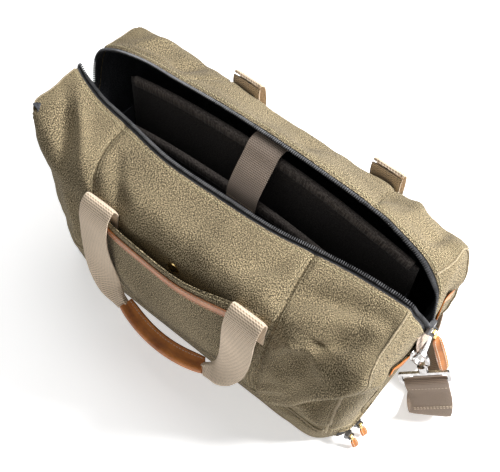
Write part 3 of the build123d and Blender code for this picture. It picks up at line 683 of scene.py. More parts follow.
def slab(name, outer, inner, material, uv=None, wrap=False, soften=2, **placing):
    """A closed sheet between two grids, its open borders drawn together to look folded."""
    outer, inner = np.array(outer, float), np.array(inner, float)
    n, m = outer.shape[:2]
    edge_rows = np.minimum(np.arange(m), np.arange(m)[::-1])
    edge = np.broadcast_to(edge_rows[None, :], (n, m)).copy()
    if not wrap:
        edge_columns = np.minimum(np.arange(n), np.arange(n)[::-1])
        edge = np.minimum(edge, edge_columns[:, None])
    keep = np.interp(edge, [0, max(1, soften)], [0.45, 1.0])[..., None]
    middle = (outer + inner) / 2
    outer, inner = middle + (outer - middle) * keep, middle + (inner - middle) * keep
    points = np.concatenate([outer.reshape(-1, 3), inner.reshape(-1, 3)])
    faces = grid_faces(n, m, wrap) + grid_faces(n, m, wrap, flip=True, start=n * m)
    size = n * m
    for i in range(n if wrap else n - 1):
        a, b = i * m, ((i + 1) % n) * m
        faces.append((a, a + size, b + size, b))
        a, b = a + m - 1, b + m - 1
        faces.append((b, b + size, a + size, a))
    if not wrap:
        for j in range(m - 1):
            a, b = j, j + 1
            faces.append((b, b + size, a + size, a))
            a, b = (n - 1) * m + j, (n - 1) * m + j + 1
            faces.append((a, a + size, b + size, b))
    if uv is not None:
        uv = np.concatenate([uv.reshape(-1, 2)] * 2)
    return make_piece(name, points, faces, material, uv=uv, **placing)


def unit(vectors):
    """Vectors made one unit long."""
    vectors = np.asarray(vectors, float)
    return vectors / np.maximum(np.linalg.norm(vectors, axis=-1, keepdims=True), 1e-9)


def capped_rings(sides, rings, start=0, flip=False):
    """Faces that join rings of points, with a cap on both ends, from the point at index start."""
    faces = []
    for ring in range(start, start + (rings - 1) * sides, sides):
        for k in range(sides):
            a, b = ring + k, ring + (k + 1) % sides
            faces.append((a, a + sides, b + sides, b) if flip else (a, b, b + sides, a + sides))
    first = tuple(range(start, start + sides))
    last = tuple(range(start + (rings - 1) * sides, start + rings * sides))
    return faces + ([first, last[::-1]] if flip else [first[::-1], last])


def sweep(name, centres, across, upward, section, material, flat=False, **placing):
    """Sweeps a section, or one section per centre, of (across, up) points along centres.

    The weave runs round the section, or straight across it where flat is set."""
    centres = np.asarray(centres, float)
    section = np.asarray(section, float)
    if section.ndim == 2:
        section = np.broadcast_to(section, (len(centres),) + section.shape)
    n, m = section.shape[:2]
    rings = (
        centres[:, None]
        + section[..., :1] * np.asarray(across)[:, None]
        + section[..., 1:] * np.asarray(upward)[:, None]
    )
    uv = np.stack(np.meshgrid(parameters(centres), parameters(section[0]), indexing="ij"), axis=-1)
    if flat:
        uv[..., 1] = section[..., 0]
    return make_piece(name, rings.reshape(-1, 3), capped_rings(m, n), material, uv=uv.reshape(-1, 2),
                      **placing)


def circle(radius, sides=10):
    """A round section."""
    turn = np.arange(sides) * 2 * np.pi / sides
    return np.stack([radius * np.cos(turn), radius * np.sin(turn)], axis=-1)


def strap_section(width, thick, curl=0.0, count=11):
    """A flat strap's section with rounded edges, its edges curled up by curl."""
    across = np.linspace(-0.5, 0.5, count)
    round_off = np.sqrt(np.clip(1 - (np.abs(across) * 2) ** 14, 0.12, 1))
    lift = curl * (4 * across**2 - 0.4)
    bead = 0.18 * thick * np.exp(-(((np.abs(across) - 0.46) / 0.035) ** 2))
    top = np.stack([across * width, lift + (thick / 2 + bead) * round_off], axis=-1)
    bottom = np.stack([across * width, lift - (thick / 2 + bead) * round_off], axis=-1)[::-1]
    return np.concatenate([bottom, top])


def strap(name, stations, material, step=3.0, curl=0.0, **placing):
    """A strap through stations of (centre, facing, width, thickness).

    Returns its path and the directions across and out of its face."""
    centres = np.array([station[0] for station in stations], float)
    t = parameters(centres)
    where = np.linspace(0, t[-1], max(8, int(t[-1] / step)))
    facing = unit(through(np.array([station[1] for station in stations], float), t, where))
    width = np.interp(where, t, [station[2] for station in stations])
    thick = np.interp(where, t, [station[3] for station in stations])
    path = through(centres, t, where)
    along = unit(np.gradient(path, axis=0))
    across = unit(np.cross(along, facing))
    out = unit(np.cross(across, along))
    section = np.array([strap_section(w, k, curl) for w, k in zip(width, thick)])
    sweep(name, path, across, out, section, material, flat=True, **placing)
    return path, across, out


def resampled(points, step):
    """Points spaced evenly along a polyline."""
    points = np.asarray(points, float)
    t = parameters(points[:, :3])
    where = np.linspace(0, t[-1], max(2, int(round(t[-1] / step)) + 1))
    return np.stack([np.interp(where, t, points[:, k]) for k in range(points.shape[1])], axis=-1)


GRAIN_SIDES = 6
# A stitch's rings, as parts of its length, its radius and its lift: it dives in at both ends.
STITCH_RINGS = ((-0.5, 0.35, -0.15), (-0.28, 1, 0.35), (0.28, 1, 0.35), (0.5, 0.35, -0.15))
# A tooth's rings, as parts of its length and its width.
TOOTH_RINGS = ((-0.5, 0.6), (-0.3, 1.0), (0.3, 1.0), (0.5, 0.6))


def stitches(name, lines, material, pitch=4.4, length=3.1, radius=0.42, **placing):
    """Rows of single stitches. Each line is (points, normals) on the surface that it is sewn to."""
    points, faces = [], []
    for path, normal in lines:
        both = resampled(np.concatenate([path, np.broadcast_to(normal, path.shape)], axis=1), pitch)
        place, up = both[:, :3], unit(both[:, 3:])
        along = unit(np.gradient(place, axis=0))
        side = unit(np.cross(up, along))
        for p, a, s, u in zip(place, along, side, up):
            faces += capped_rings(GRAIN_SIDES, len(STITCH_RINGS), len(points))
            for part, size, lift in STITCH_RINGS:
                for k in range(GRAIN_SIDES):
                    turn = 2 * math.pi * k / GRAIN_SIDES
                    points.append(
                        p + a * length * part
                        + s * radius * size * math.cos(turn)
                        + u * radius * (size * math.sin(turn) + lift)
                    )
    return make_piece(name, points, faces, material, sharp=80, **placing)


def beads(name, places, along, across, up, size, material, **placing):
    """Many small rounded teeth, each at a place and turned to its own directions."""
    points, faces = [], []
    for p, a, c, u in zip(places, along, across, up):
        faces += capped_rings(GRAIN_SIDES, len(TOOTH_RINGS), len(points), flip=True)
        for part, narrow in TOOTH_RINGS:
            for k in range(GRAIN_SIDES):
                turn = 2 * math.pi * (k + 0.5) / GRAIN_SIDES
                points.append(
                    p + c * size[1] * part
                    + a * size[0] / 2 * narrow * math.cos(turn)
                    + u * size[2] / 2 * narrow * math.sin(turn)
                )
    return make_piece(name, points, faces, material, sharp=60, **placing)


def tube(name, path, radius, material, sides=10, **placing):
    """A round cord along a path; radius may be one value per point."""
    path = np.asarray(path, float)
    along = unit(np.gradient(path, axis=0))
    guess = np.tile([0.0, 0.0, 1.0], (len(path), 1))
    guess[np.abs(along[:, 2]) > 0.9] = (1.0, 0.0, 0.0)
    across = unit(np.cross(along, guess))
    up = np.cross(across, along)
    radius = np.broadcast_to(radius, (len(path),))
    section = np.array([circle(r, sides) for r in radius])
    return sweep(name, path, across, up, section, material, **placing)


# ---- canvas panels --------------------------------------------------------------------------
# Thickness of the canvas and of the lining, and the gap between them.
CANVAS = 2.2
LINING = 0.8
LINING_GAP = 0.5


def span(first, last):
    """The columns from one to another, going round the ring where the last is smaller."""
    if last <= first:
        last += column_count
    return np.arange(first, last + 1)


def cloth_uv(picked, rows_picked):
    """Millimetres along and up the cloth for a block of grid places."""
    wraps = picked // column_count
    along = around_mm[picked % column_count] + wraps * around_mm[-1]
    up = up_mm[(picked % column_count)[:, None], rows_picked[None, :]]
    return np.stack([np.broadcast_to(along[:, None], up.shape), up], axis=-1)


def panel(name, node, first, last):
    """One canvas panel between two columns, from the base seam to its edge at the zip."""
    picked, picked_rows = span(columns[first], columns[last]), np.arange(BAND, CANVAS_EDGE + 1)
    outer = grid[picked % column_count][:, picked_rows]
    normal = normals[picked % column_count][:, picked_rows]
    slab(name, outer, outer - CANVAS * normal, canvas_cloth, cloth_uv(picked, picked_rows),
         stands_for=(node,), slot="canvas")


for name, node, first, last in (
    ("canvas_front_left", "front_panel_left", EDGE_FRONT_LEFT, FRONT_SEAM_LEFT),
    ("canvas_front_center", "front_panel_center", FRONT_SEAM_LEFT, FRONT_SEAM_RIGHT),
    ("canvas_front_right", "front_panel_right", FRONT_SEAM_RIGHT, EDGE_FRONT_RIGHT),
    ("canvas_end_right", "end_gusset_right", EDGE_FRONT_RIGHT, EDGE_BACK_RIGHT),
    ("canvas_back_right", "back_panel_right", EDGE_BACK_RIGHT, BACK_SEAM_RIGHT),
    ("canvas_back_center", "back_panel_center", BACK_SEAM_RIGHT, BACK_SEAM_LEFT),
    ("canvas_back_left", "back_panel_left", BACK_SEAM_LEFT, EDGE_BACK_LEFT),
    ("canvas_end_left", "end_gusset_left", EDGE_BACK_LEFT, EDGE_FRONT_LEFT),
):
    panel(name, node, first, last)

# The tub: the lowest rows of the ring and a bottom that closes it.
scales = (0.0, 0.3, 0.6, 0.85, 0.97)
bottom = np.stack([grid[:, 0] * (scale, scale, 0) for scale in scales], axis=1)
bottom_up = np.tile([0.0, 0.0, -1.0], (column_count, len(scales), 1))
tub_outer = np.concatenate([bottom, grid[:, : BAND + 1]], axis=1)
tub_normal = np.concatenate([bottom_up, normals[:, : BAND + 1]], axis=1)
tub_normal[:, len(scales)] = unit(tub_normal[:, len(scales)] + (0, 0, -0.8))
tub_up = np.cumsum(np.linalg.norm(np.diff(tub_outer, axis=1), axis=-1), axis=1)
tub_up = np.concatenate([np.zeros((column_count, 1)), tub_up], axis=1)
tub_uv = np.stack([np.broadcast_to(around_mm[:-1, None], tub_up.shape), tub_up], axis=-1)
slab("canvas_base_tub", tub_outer, tub_outer - CANVAS * tub_normal, canvas_cloth, tub_uv, wrap=True,
     stands_for=("base_tub",), slot="canvas", weld=True)

# The lining hangs inside the canvas, slacker half way up, and its floor covers the board.
lining_rows = np.arange(1, CANVAS_EDGE - 1)
slack = 2.4 * np.clip(np.minimum(lining_rows - 8, CANVAS_EDGE - 6 - lining_rows) / 8, 0, 1)
lining_outer = grid[:, lining_rows] - (CANVAS + LINING_GAP + slack)[:, None] * normals[:, lining_rows]
lining_floor = np.stack([lining_outer[:, 0] * (scale, scale, 1) for scale in (0.0, 0.4, 0.8)], axis=1)
lining_outer = np.concatenate([lining_floor, lining_outer], axis=1)
lining_inner = lining_outer.copy()
lining_inner[:, :3, 2] += LINING
lining_inner[:, 3:] -= LINING * normals[:, lining_rows]
lining_up = np.concatenate([np.zeros((column_count, 3)), up_mm[:, lining_rows]], axis=1)
lining_uv = np.stack([np.broadcast_to(around_mm[:-1, None], lining_up.shape), lining_up], axis=-1)
slab("lining_cloth", lining_outer, lining_inner, lining_cloth, lining_uv, wrap=True,
     stands_for=("lining",), slot="lining", weld=True)


def beside(points, normal, offset):
    """Moves a line sideways along the surface by offset."""
    along = unit(np.gradient(points, axis=0))
    return points + unit(np.cross(normal, along)) * offset


def close_to_surface(points, lift):
    """Drops points onto the canvas: the nearest grid place, lifted along its normal."""
    out, out_normals = [], []
    for p in points:
        gap = np.linalg.norm(grid - p, axis=-1)
        c, r = np.unravel_index(np.argmin(gap), gap.shape)
        n = normals[c, r]
        out.append(p - n * ((p - grid[c, r]) @ n) + n * lift)
        out_normals.append(n)
    return np.array(out), np.array(out_normals)


def sewn_beside(path, normal, offset):
    """Points and normals of a row of stitches on the canvas, beside a seam."""
    return close_to_surface(beside(path, normal, offset), 0.1)


# ---- sewn lines on the canvas ---------------------------------------------------------------
whole_ring = np.arange(column_count + 1)
rim_line = surface(whole_ring, CANVAS_EDGE - 1.9)
stitches("stitches_rim", [rim_line], rim_thread, pitch=4.2, length=2.7, radius=0.55, slot="canvas")
seam_stitches = []
for column in SEAM_COLUMNS:
    seam = surface(column, np.linspace(BAND, CANVAS_EDGE - 1, 120))
    seam_stitches += [sewn_beside(*seam, offset) for offset in (-3.6, 3.6)]
for column, sign in zip(EDGE_COLUMNS, (1, -1, 1, -1)):
    low = BAND if column in EDGE_COLUMNS[2:] else SHOULDER - 4
    seam = surface(column, np.linspace(low, CANVAS_EDGE - 1, 90))
    seam_stitches.append(sewn_beside(*seam, sign * 5.0))
stitches("stitches_seams", seam_stitches, olive_thread, slot="canvas")
band = surface(whole_ring, BAND)
stitches("stitches_base", [sewn_beside(*band, offset) for offset in (-3.4, 3.4)], olive_thread,
         slot="canvas")


def piping(name, column, row, lift=0.2, radius=1.35):
    """A covered cord sewn into a seam, along grid places."""
    path, normal = surface(column, row, lift)
    across = unit(np.cross(normal, unit(np.gradient(path, axis=0))))
    sweep(name, path, across, normal, circle(radius, 8), highlit_piping_cloth, slot="canvas")


piping("piping_base", whole_ring, BAND)
outline_stitches = []
for name, line, side in (("left", OUTLINE_LEFT, 1), ("right", OUTLINE_RIGHT, -1)):
    places = on_surface(line).T
    piping(f"piping_outline_{name}", *places)
    outline_stitches.append(sewn_beside(*surface(*places), side * 4.2))
stitches("stitches_outline", outline_stitches, olive_thread, slot="canvas")
for name, column in zip(("front_left", "front_right", "back_left", "back_right"), EDGE_COLUMNS):
    low = BAND if "back" in name else SHOULDER - 3
    piping(f"piping_edge_{name}", column, np.linspace(low, CANVAS_EDGE - 1, 70), 0.0, 1.1)

# ---- main zip -------------------------------------------------------------------------------
LEFT_END, RIGHT_END = columns["left notch"], columns["right notch"]
tape_rows = np.arange(CANVAS_EDGE - 2, TEETH + 1)
for half, first, last in (("front", LEFT_END, RIGHT_END), ("back", RIGHT_END, LEFT_END)):
    picked = span(first, last)
    held = picked % column_count
    top = grid[held][:, tape_rows] - 1.3 * normals[held][:, tape_rows]
    under = top - normals[held][:, tape_rows]
    slab(f"zip_tape_{half}", top, under, tape_cloth, cloth_uv(picked, tape_rows),
         stands_for=(f"main_zip_tape_{half}",), slot="zip_tape")
    line = resampled(np.concatenate([grid[held, TEETH], normals[held, TEETH]], axis=1), 2.3)
    place, up = line[:, :3], unit(line[:, 3:])
    along = unit(np.gradient(place, axis=0))
    outward = unit(np.cross(up, along))
    beads(f"zip_teeth_{half}", place + 0.5 * up + 0.6 * outward, along, outward, up, (1.5, 4.4, 2.8),
          zip_metal, stands_for=(f"main_zip_teeth_{half}",), slot="zip_metal")
    tube(f"zip_cord_{half}", resampled(place - 0.9 * up, 4.0), 0.95, tape_cloth, 7, slot="zip_tape")

# ---- laptop sleeve --------------------------------------------------------------------------
pad_boxes = {side: np.array(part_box(f"sleeve_{side}_pad")) / MM for side in ("front", "back")}
SLEEVE_ARCH = 22.0


def pad_grid(low, high):
    """Front and back faces of a padded panel with an arched top, crowned and slightly wavy."""
    across = np.linspace(low[0], high[0], 90)
    up = np.concatenate([np.linspace(0, 0.94, 34), [0.97, 0.99, 1.0]])
    half = high[0]
    x = across[:, None] + 0 * up[None, :]
    top = high[2] - SLEEVE_ARCH * (x / half) ** 2
    z = low[2] + (top - low[2]) * up[None, :]
    middle = (low[1] + high[1]) / 2
    edge = np.minimum(1, np.minimum((1 - up)[None, :] * 14, (1 - np.abs(x) / half) * 22))
    swell = (high[1] - low[1]) / 2 * (0.55 + 0.45 * np.sqrt(np.clip(edge, 0, 1)))
    wave = 0.9 * np.sin(x / 37.0 + z / 60.0) * up[None, :] + 0.6 * np.sin(x / 15.0 - z / 33.0)
    channel = 0.9 * np.exp(-(((top - z) - 14.0) / 2.2) ** 2)
    front = np.stack([x, middle - (swell - channel) + 0.4 * wave, z], axis=-1)
    back = np.stack([x, middle + (swell - channel) + 0.4 * wave, z], axis=-1)
    return front, back, np.stack([x, z], axis=-1)


for side in ("front", "back"):
    low, high = pad_boxes[side]
    front, back, uv = pad_grid(low, high)
    pad = slab(f"sleeve_pad_{side}", front, back, pad_cloth, uv, soften=1,
               stands_for=(f"sleeve_{side}_pad",), slot="sleeve_padding")
    edge_x = np.linspace(low[0] + 7, high[0] - 7, 120)
    edge_z = high[2] - SLEEVE_ARCH * (edge_x / high[0]) ** 2
    middle = (low[1] + high[1]) / 2
    path = np.stack([edge_x, middle + 0.4 * np.sin(edge_x / 30.0), edge_z - 3.2], axis=-1)
    along = unit(np.gradient(path, axis=0))
    out = np.tile([0.0, 1.0, 0.0], (len(path), 1))
    rise = -unit(np.cross(out, along))
    hood = np.array([(-4.1, -5), (-4.3, 0), (-3.7, 3.4), (-2.0, 5.3), (0, 5.9), (2.0, 5.3), (3.7, 3.4),
                     (4.3, 0), (4.1, -5), (3.3, -5), (3.3, 2), (0, 4.0), (-3.3, 2), (-3.3, -5)])
    sweep(f"sleeve_binding_{side}", path, out, rise, hood, binding_cloth, flat=True,
          stands_for=(f"sleeve_{side}_binding",), slot="binding")
    sewn = [(path + out * sign * 4.35 - rise * 3.4, out * sign) for sign in (-1, 1)]
    stitches(f"stitches_sleeve_{side}", sewn, dark_thread, radius=0.35, slot="binding")

gusset_low, gusset_high = np.array(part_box("sleeve_gusset")) / MM
turn = np.linspace(0, np.pi / 2, 7)[1:-1]
corner = 12.0
left_x, right_x = gusset_low[0] + 0.8, gusset_high[0] - 0.8
floor_z = gusset_low[2] + 0.8


def gusset_side(x, inward):
    """Half of the line the gusset follows, as (x, z), from the sleeve's mouth to its floor."""
    line = [(x, gusset_high[2]), (x, (gusset_high[2] + floor_z) / 2), (x, floor_z + corner)]
    line += [(x + inward * corner * (1 - math.cos(a)), floor_z + corner * (1 - math.sin(a))) for a in turn]
    return line + [(x + inward * corner, floor_z)]


around_sleeve = np.array(gusset_side(left_x, 1) + [(0, floor_z)] + gusset_side(right_x, -1)[::-1])
depth = np.linspace(gusset_low[1] + 0.2, gusset_high[1] - 0.2, 9)
middle_line = np.stack(np.broadcast_arrays(around_sleeve[:, :1], depth, around_sleeve[:, 1:]), axis=-1)
gusset_length = np.broadcast_to(parameters(around_sleeve)[:, None], middle_line.shape[:2])
slope = np.gradient(around_sleeve, axis=0)
outward = unit(np.stack([slope[:, 1], -slope[:, 0]], axis=-1))
shift = np.stack([outward[:, 0], 0 * outward[:, 0], outward[:, 1]], axis=-1)[:, None] * 0.75
slab("sleeve_gusset_cloth", middle_line - shift, middle_line + shift, lining_cloth,
     np.stack([middle_line[..., 1], gusset_length], axis=-1), soften=1,
     stands_for=("sleeve_gusset",), slot="lining")

divider_low, divider_high = np.array(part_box("base_pocket_divider")) / MM
turn = np.linspace(0, 2 * np.pi, 97)[:-1]
rim = np.stack([np.sign(np.cos(turn)) * np.abs(np.cos(turn)) ** 0.25 * (divider_high[0] - 1),
                np.sign(np.sin(turn)) * np.abs(np.sin(turn)) ** 0.25 * 96 - 1, 0 * turn], axis=-1)
rings = np.stack([rim * (k, k, 1) for k in (0.0, 0.25, 0.5, 0.75, 0.93, 1.0)], axis=1)
ripple = 0.25 * np.sin(rings[..., 0] / 19.0) * np.cos(rings[..., 1] / 23.0)
rings[..., 2] = divider_high[2] - 0.3 + ripple
under = rings.copy()
under[..., 2] = divider_low[2] + 0.1
slab("base_divider_cloth", rings[::-1], under[::-1], lining_cloth, rings[::-1, :, :2], wrap=True, soften=1,
     stands_for=("base_pocket_divider",), slot="lining", weld=True)

# The closing strap: one length of webbing from the back pad over the sleeve's mouth.
tab_low, tab_high = np.array(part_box("sleeve_tab_strap")) / MM
tab_width = tab_high[0] - tab_low[0]
back_top = pad_boxes["back"][1][2]
tab_facing = [((0, 37, 233), (0, 0.55, 0.83)), ((0, 29.5, 237.6), (0, 0.2, 0.98)),
              ((0, 20.5, 236.4), (0, -0.5, 0.86)), ((0, 10, back_top - 4.0), (0, -0.75, 0.66)),
              ((0, -3, back_top - 20), (0, -0.78, 0.62)), ((0, -11.5, back_top - 34), (0, -0.88, 0.47)),
              ((0, -14.4, back_top - 46), (0, -1, 0.06)), ((0, -14.6, tab_low[2] + 8), (0, -1, -0.02)),
              ((0, -15.2, tab_low[2] + 0.4), (0, -1, -0.1))]
stations = [(place, facing, tab_width, 2.2) for place, facing in tab_facing]
path, across, out = strap("tab_webbing_strap", stations, tab_webbing, curl=-0.5,
                          stands_for=("sleeve_tab_strap", "sleeve_tab_anchor"), slot="webbing",
                          blended=("bag", "sleeve_tab", (0, 18.4 * MM, (back_top + 1) * MM),
                                   (0, 12 * MM, (back_top - 4) * MM)))
offsets = np.linspace(-tab_width / 2 + 3, tab_width / 2 - 3, 12)
rows_of_thread = []
for at in (-5, -8):
    line = path[at] + across[at] * offsets[:, None] + out[at] * 1.25
    rows_of_thread.append((line, np.tile(out[at], (12, 1))))
stitches("stitches_tab", rows_of_thread, cream_thread, pitch=3.4, length=2.5, radius=0.35,
         body="sleeve_tab", slot="webbing")

# ---- handles --------------------------------------------------------------------------------
# Which way each wall faces, the y and z that its handle turns about, and the webbing of the right
# leg from its foot on the wall to the grip, as (place, facing).
LEGS = {
    "front": (-1, -119.0, 198.0,
              [((95, -115.6, 160), (0, -1, 0)), ((95, -113.8, 180), (0, -1, 0.1)),
               ((95, -112.6, 192), (0, -1, 0.35)), ((95, -117.4, 198.6), (0, -0.2, 1)),
               ((95, -124.5, 193.8), (0, -0.86, 0.5)), ((95, -129.4, 182), (0, -0.97, 0.25)),
               ((95, -132.0, 160), (0, -1, 0.1)), ((94.4, -133.0, 138), (-0.06, -1, 0.06)),
               ((91, -134.2, 114), (-0.2, -0.97, 0.1)), ((84, -135.6, 92), (-0.42, -0.9, 0.12)),
               ((74, -136.4, 75), (-0.6, -0.78, 0.2)), ((59, -136.6, 62.5), (-0.35, -0.92, 0.2))]),
    "back": (1, 111.0, 198.0,
             [((95, 112.4, 158), (0, 1, 0)), ((95, 110.2, 176), (0, 1, 0.2)),
              ((95, 108.8, 190), (0, 1, 0.35)), ((95, 111.6, 199.2), (0, 0.2, 1)),
              ((95, 117.5, 194.4), (0, 0.86, 0.5)), ((95, 121.6, 182), (0, 0.97, 0.25)),
              ((95, 124.0, 160), (0, 1, 0.1)), ((94.4, 125.0, 138), (-0.06, 1, 0.06)),
              ((91, 126.2, 114), (-0.2, 0.97, 0.1)), ((84, 127.6, 92), (-0.42, 0.9, 0.12)),
              ((74, 128.4, 75), (-0.6, 0.78, 0.2)), ((59, 128.6, 62.5), (-0.35, 0.92, 0.2))]),
}
LEG_WIDTHS = (38, 38, 38, 38, 38, 38, 38, 38, 37, 32, 24, 15)
LEG_THICKS = (2.4, 2.4, 2.4, 2.4, 2.4, 2.4, 2.4, 2.5, 2.8, 3.8, 5.6, 7.5)

for wall, (side, hinge_y, hinge_z, leg) in LEGS.items():
    body = f"{wall}_handle"
    crossing = ("bag", body, (0, (hinge_y + side) * MM, hinge_z * MM),
                (0, (hinge_y + side * 4.5) * MM, (hinge_z + 0.1) * MM))
    for end, label in ((-1, "left"), (1, "right")):
        stations = [((end * x, y, z), (end * fx, fy, fz), w, k)
                    for ((x, y, z), (fx, fy, fz)), w, k in zip(leg, LEG_WIDTHS, LEG_THICKS)]
        nodes = (f"{wall}_handle_webbing", f"{wall}_handle_anchors") if end < 0 else ()
        strap(f"{wall}_handle_leg_{label}", stations, handle_webbing, 2.6, curl=0.5, stands_for=nodes,
              slot="webbing", blended=crossing)
    grip_low, grip_high = np.array(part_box(f"{wall}_handle_grip")) / MM
    grip_half = (grip_high[0] - grip_low[0]) / 2 - 1.0
    s = np.linspace(-1, 1, 41)
    _, end_y, end_z = leg[-1][0]
    path = np.stack([s * grip_half, end_y + side * 8.0 * (1 - s**2), end_z - 8.0 * (1 - s**2)], axis=-1)
    along = unit(np.gradient(path, axis=0))
    lean = np.array([0, -side * 0.62, 0.78])
    upward = unit(lean - along * (along @ lean)[:, None])
    sideways = unit(np.cross(along, upward))
    turn = np.radians(np.arange(-60, 241, 20))
    wrap = [(7.0 * math.cos(a), -6.6 * math.sin(a)) for a in turn]
    seam = [(3.2, 7.0), (1.7, 10.0), (1.5, 14.0), (0, 14.6), (-1.5, 14.0), (-1.7, 10.0), (-3.2, 7.0)]
    section = np.array(wrap[::-1] + seam)
    swell = 1.0 - 0.12 * np.abs(s) ** 8
    sweep(f"{wall}_grip_leather", path, sideways, upward, section * swell[:, None, None], tan_leather,
          body=body, stands_for=(f"{wall}_handle_grip",), slot="leather")
    sewn = [(path[1:-1] + upward[1:-1] * 11.6 + sideways[1:-1] * 1.65 * sign, sideways[1:-1] * sign)
            for sign in (-1, 1)]
    stitches(f"{wall}_grip_stitches", sewn, cream_thread, pitch=3.9, length=2.9, radius=0.4, body=body,
             slot="leather")

# ---- front pocket ---------------------------------------------------------------------------
pocket_low, pocket_high = np.array(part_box("front_pocket_panel")) / MM
pocket_half = pocket_high[0] - 0.6
POCKET_BULGE = 13.0
across = np.linspace(-pocket_half, pocket_half, 84)
up = np.concatenate([np.linspace(0, 0.9, 46), np.linspace(0.92, 1.0, 7)])


def front_wall(x, z):
    """Where the smooth front of the bag stands, as y, at a place across and up it."""
    levels = np.array([level[0] for level in WALL_LEVELS] + [187, 200])
    depth = np.array([-117 * level[2] for level in WALL_LEVELS] + [-111.5, -100])
    return np.interp(z, levels, depth)


def pocket_point(x, part, lift=0.0):
    """A place on the pocket, part of the way from its foot to its mouth."""
    mouth = 188.0 + 0.085 * x - 3.5 * np.cos(x * np.pi / (2 * pocket_half)) ** 2
    foot = pocket_low[2] + 0.6
    z = foot + (mouth - foot) * part
    side = 1 - (np.abs(x) / pocket_half) ** 2.6
    rise = np.sin(np.clip((z - foot) / (120 - foot), 0, 1) * np.pi / 2)
    sag = 2.2 * np.exp(-((z - 142) / 20) ** 2) * np.sin(x / 31.0 + 0.6)
    sag = sag + 1.6 * np.sin(x / 19.0 + z / 26.0)
    lean = 2.0 * np.clip((z - 160) / 26, 0, 1) * side
    out = 2.4 + POCKET_BULGE * (0.10 + 0.90 * side) * rise + sag * side * rise * 0.6 - lean * 0.4
    return np.stack([x + 0 * z, front_wall(x, z) - out - lift, z], axis=-1)


X, P = np.meshgrid(across, up, indexing="ij")
pocket_outer = pocket_point(X, P)
pocket_normal = unit(np.cross(np.gradient(pocket_outer, axis=0), np.gradient(pocket_outer, axis=1)))
pocket_uv = np.stack([X, pocket_outer[..., 2]], axis=-1)
slab("pocket_canvas", pocket_outer, pocket_outer - 2.0 * pocket_normal, canvas_cloth, pocket_uv,
     stands_for=("front_pocket_panel",), slot="canvas")


def pocket_line(x, part, lift=0.0):
    """Points and normals along the pocket's face."""
    x, part = np.broadcast_arrays(np.asarray(x, float), np.asarray(part, float))
    points = pocket_point(x, part, lift)
    up_step = pocket_point(x, part + 0.004, lift) - points
    across_step = pocket_point(x + 0.5, part, lift) - points
    return points, unit(np.cross(across_step, up_step))


# The trim's lower and upper edge, as parts of the pocket's height, and its thickness.
TRIM_LOW, TRIM_HIGH, TRIM_THICK = 0.885, 0.945, 1.5
trim_x = np.linspace(-pocket_half + 0.5, pocket_half - 0.5, 90)
TX, TP = np.meshgrid(trim_x, np.linspace(TRIM_LOW, TRIM_HIGH, 7), indexing="ij")
face, face_normal = pocket_line(TX, TP)
slab("pocket_trim_leather", face + face_normal * TRIM_THICK, face + face_normal * 0.05, pale_leather,
     np.stack([TX, face[..., 2]], axis=-1), soften=1, stands_for=("front_pocket_trim",), slot="leather")
for edge_name, part in (("low", TRIM_LOW), ("high", TRIM_HIGH)):
    edge_path, edge_normal = pocket_line(trim_x, part)
    tube(f"pocket_trim_edge_{edge_name}", edge_path + edge_normal * 0.8, 0.75, leather_edge, 7,
         slot="leather")
outward = face_normal[:, 0]
sewn = [(pocket_line(trim_x, part)[0] + outward * TRIM_THICK, outward)
        for part in (TRIM_LOW + 0.009, TRIM_HIGH - 0.009)]
stitches("pocket_trim_stitches", sewn, cream_thread, pitch=3.8, length=2.8, radius=0.36, slot="leather")
sew_x = np.linspace(-pocket_half + 4, pocket_half - 4, 90)
side_part = np.linspace(0.02, 0.97, 60)
pocket_sewn = [pocket_line(sew_x, 0.985, 0.05), pocket_line(sew_x, 0.03, 0.05)]
pocket_sewn += [pocket_line(end * (pocket_half - 3.0), side_part, 0.05) for end in (-1, 1)]
stitches("pocket_stitches", pocket_sewn, olive_thread, slot="canvas")

# ---- right end: slip pocket and base zip ----------------------------------------------------
END_CENTRE = float(columns["right notch"])


def end_columns(places, row, reach, tries):
    """Grid columns at some places across the right end, read along one row."""
    tried = np.linspace(END_CENTRE - column_count * reach, END_CENTRE + column_count * reach, tries)
    return np.interp(places, surface(tried, row)[0][:, 1], tried)


def end_rows(heights, top_row, tries):
    """Grid rows at some heights up the middle of the right end."""
    tried = np.linspace(0, top_row, tries)
    return np.interp(heights, surface(END_CENTRE, tried)[0][:, 2], tried)


def end_patch(name, low_z, high_z, half_width, lift, thick, material, slot_name, node, steps=(40, 24),
              belly=0.0):
    """A layer laid on the right end wall between two heights. Returns its grid columns and rows."""
    cols = end_columns(np.linspace(-half_width, half_width, steps[0]), 26.0, 0.11, 400)
    rows_here = end_rows(np.linspace(low_z, high_z, steps[1]), SHOULDER, 200)
    face, face_normal = surface(*np.meshgrid(cols, rows_here, indexing="ij"))
    part_c = np.linspace(-1, 1, steps[0])[:, None]
    part_r = np.linspace(0, 1, steps[1])[None, :]
    out = lift + belly * (1 - part_c**2) * part_r**0.7
    slab(name, face + face_normal * (out + thick)[..., None], face + face_normal * out[..., None],
         material, face[..., 1:], soften=1, stands_for=node, slot=slot_name)
    return cols, rows_here


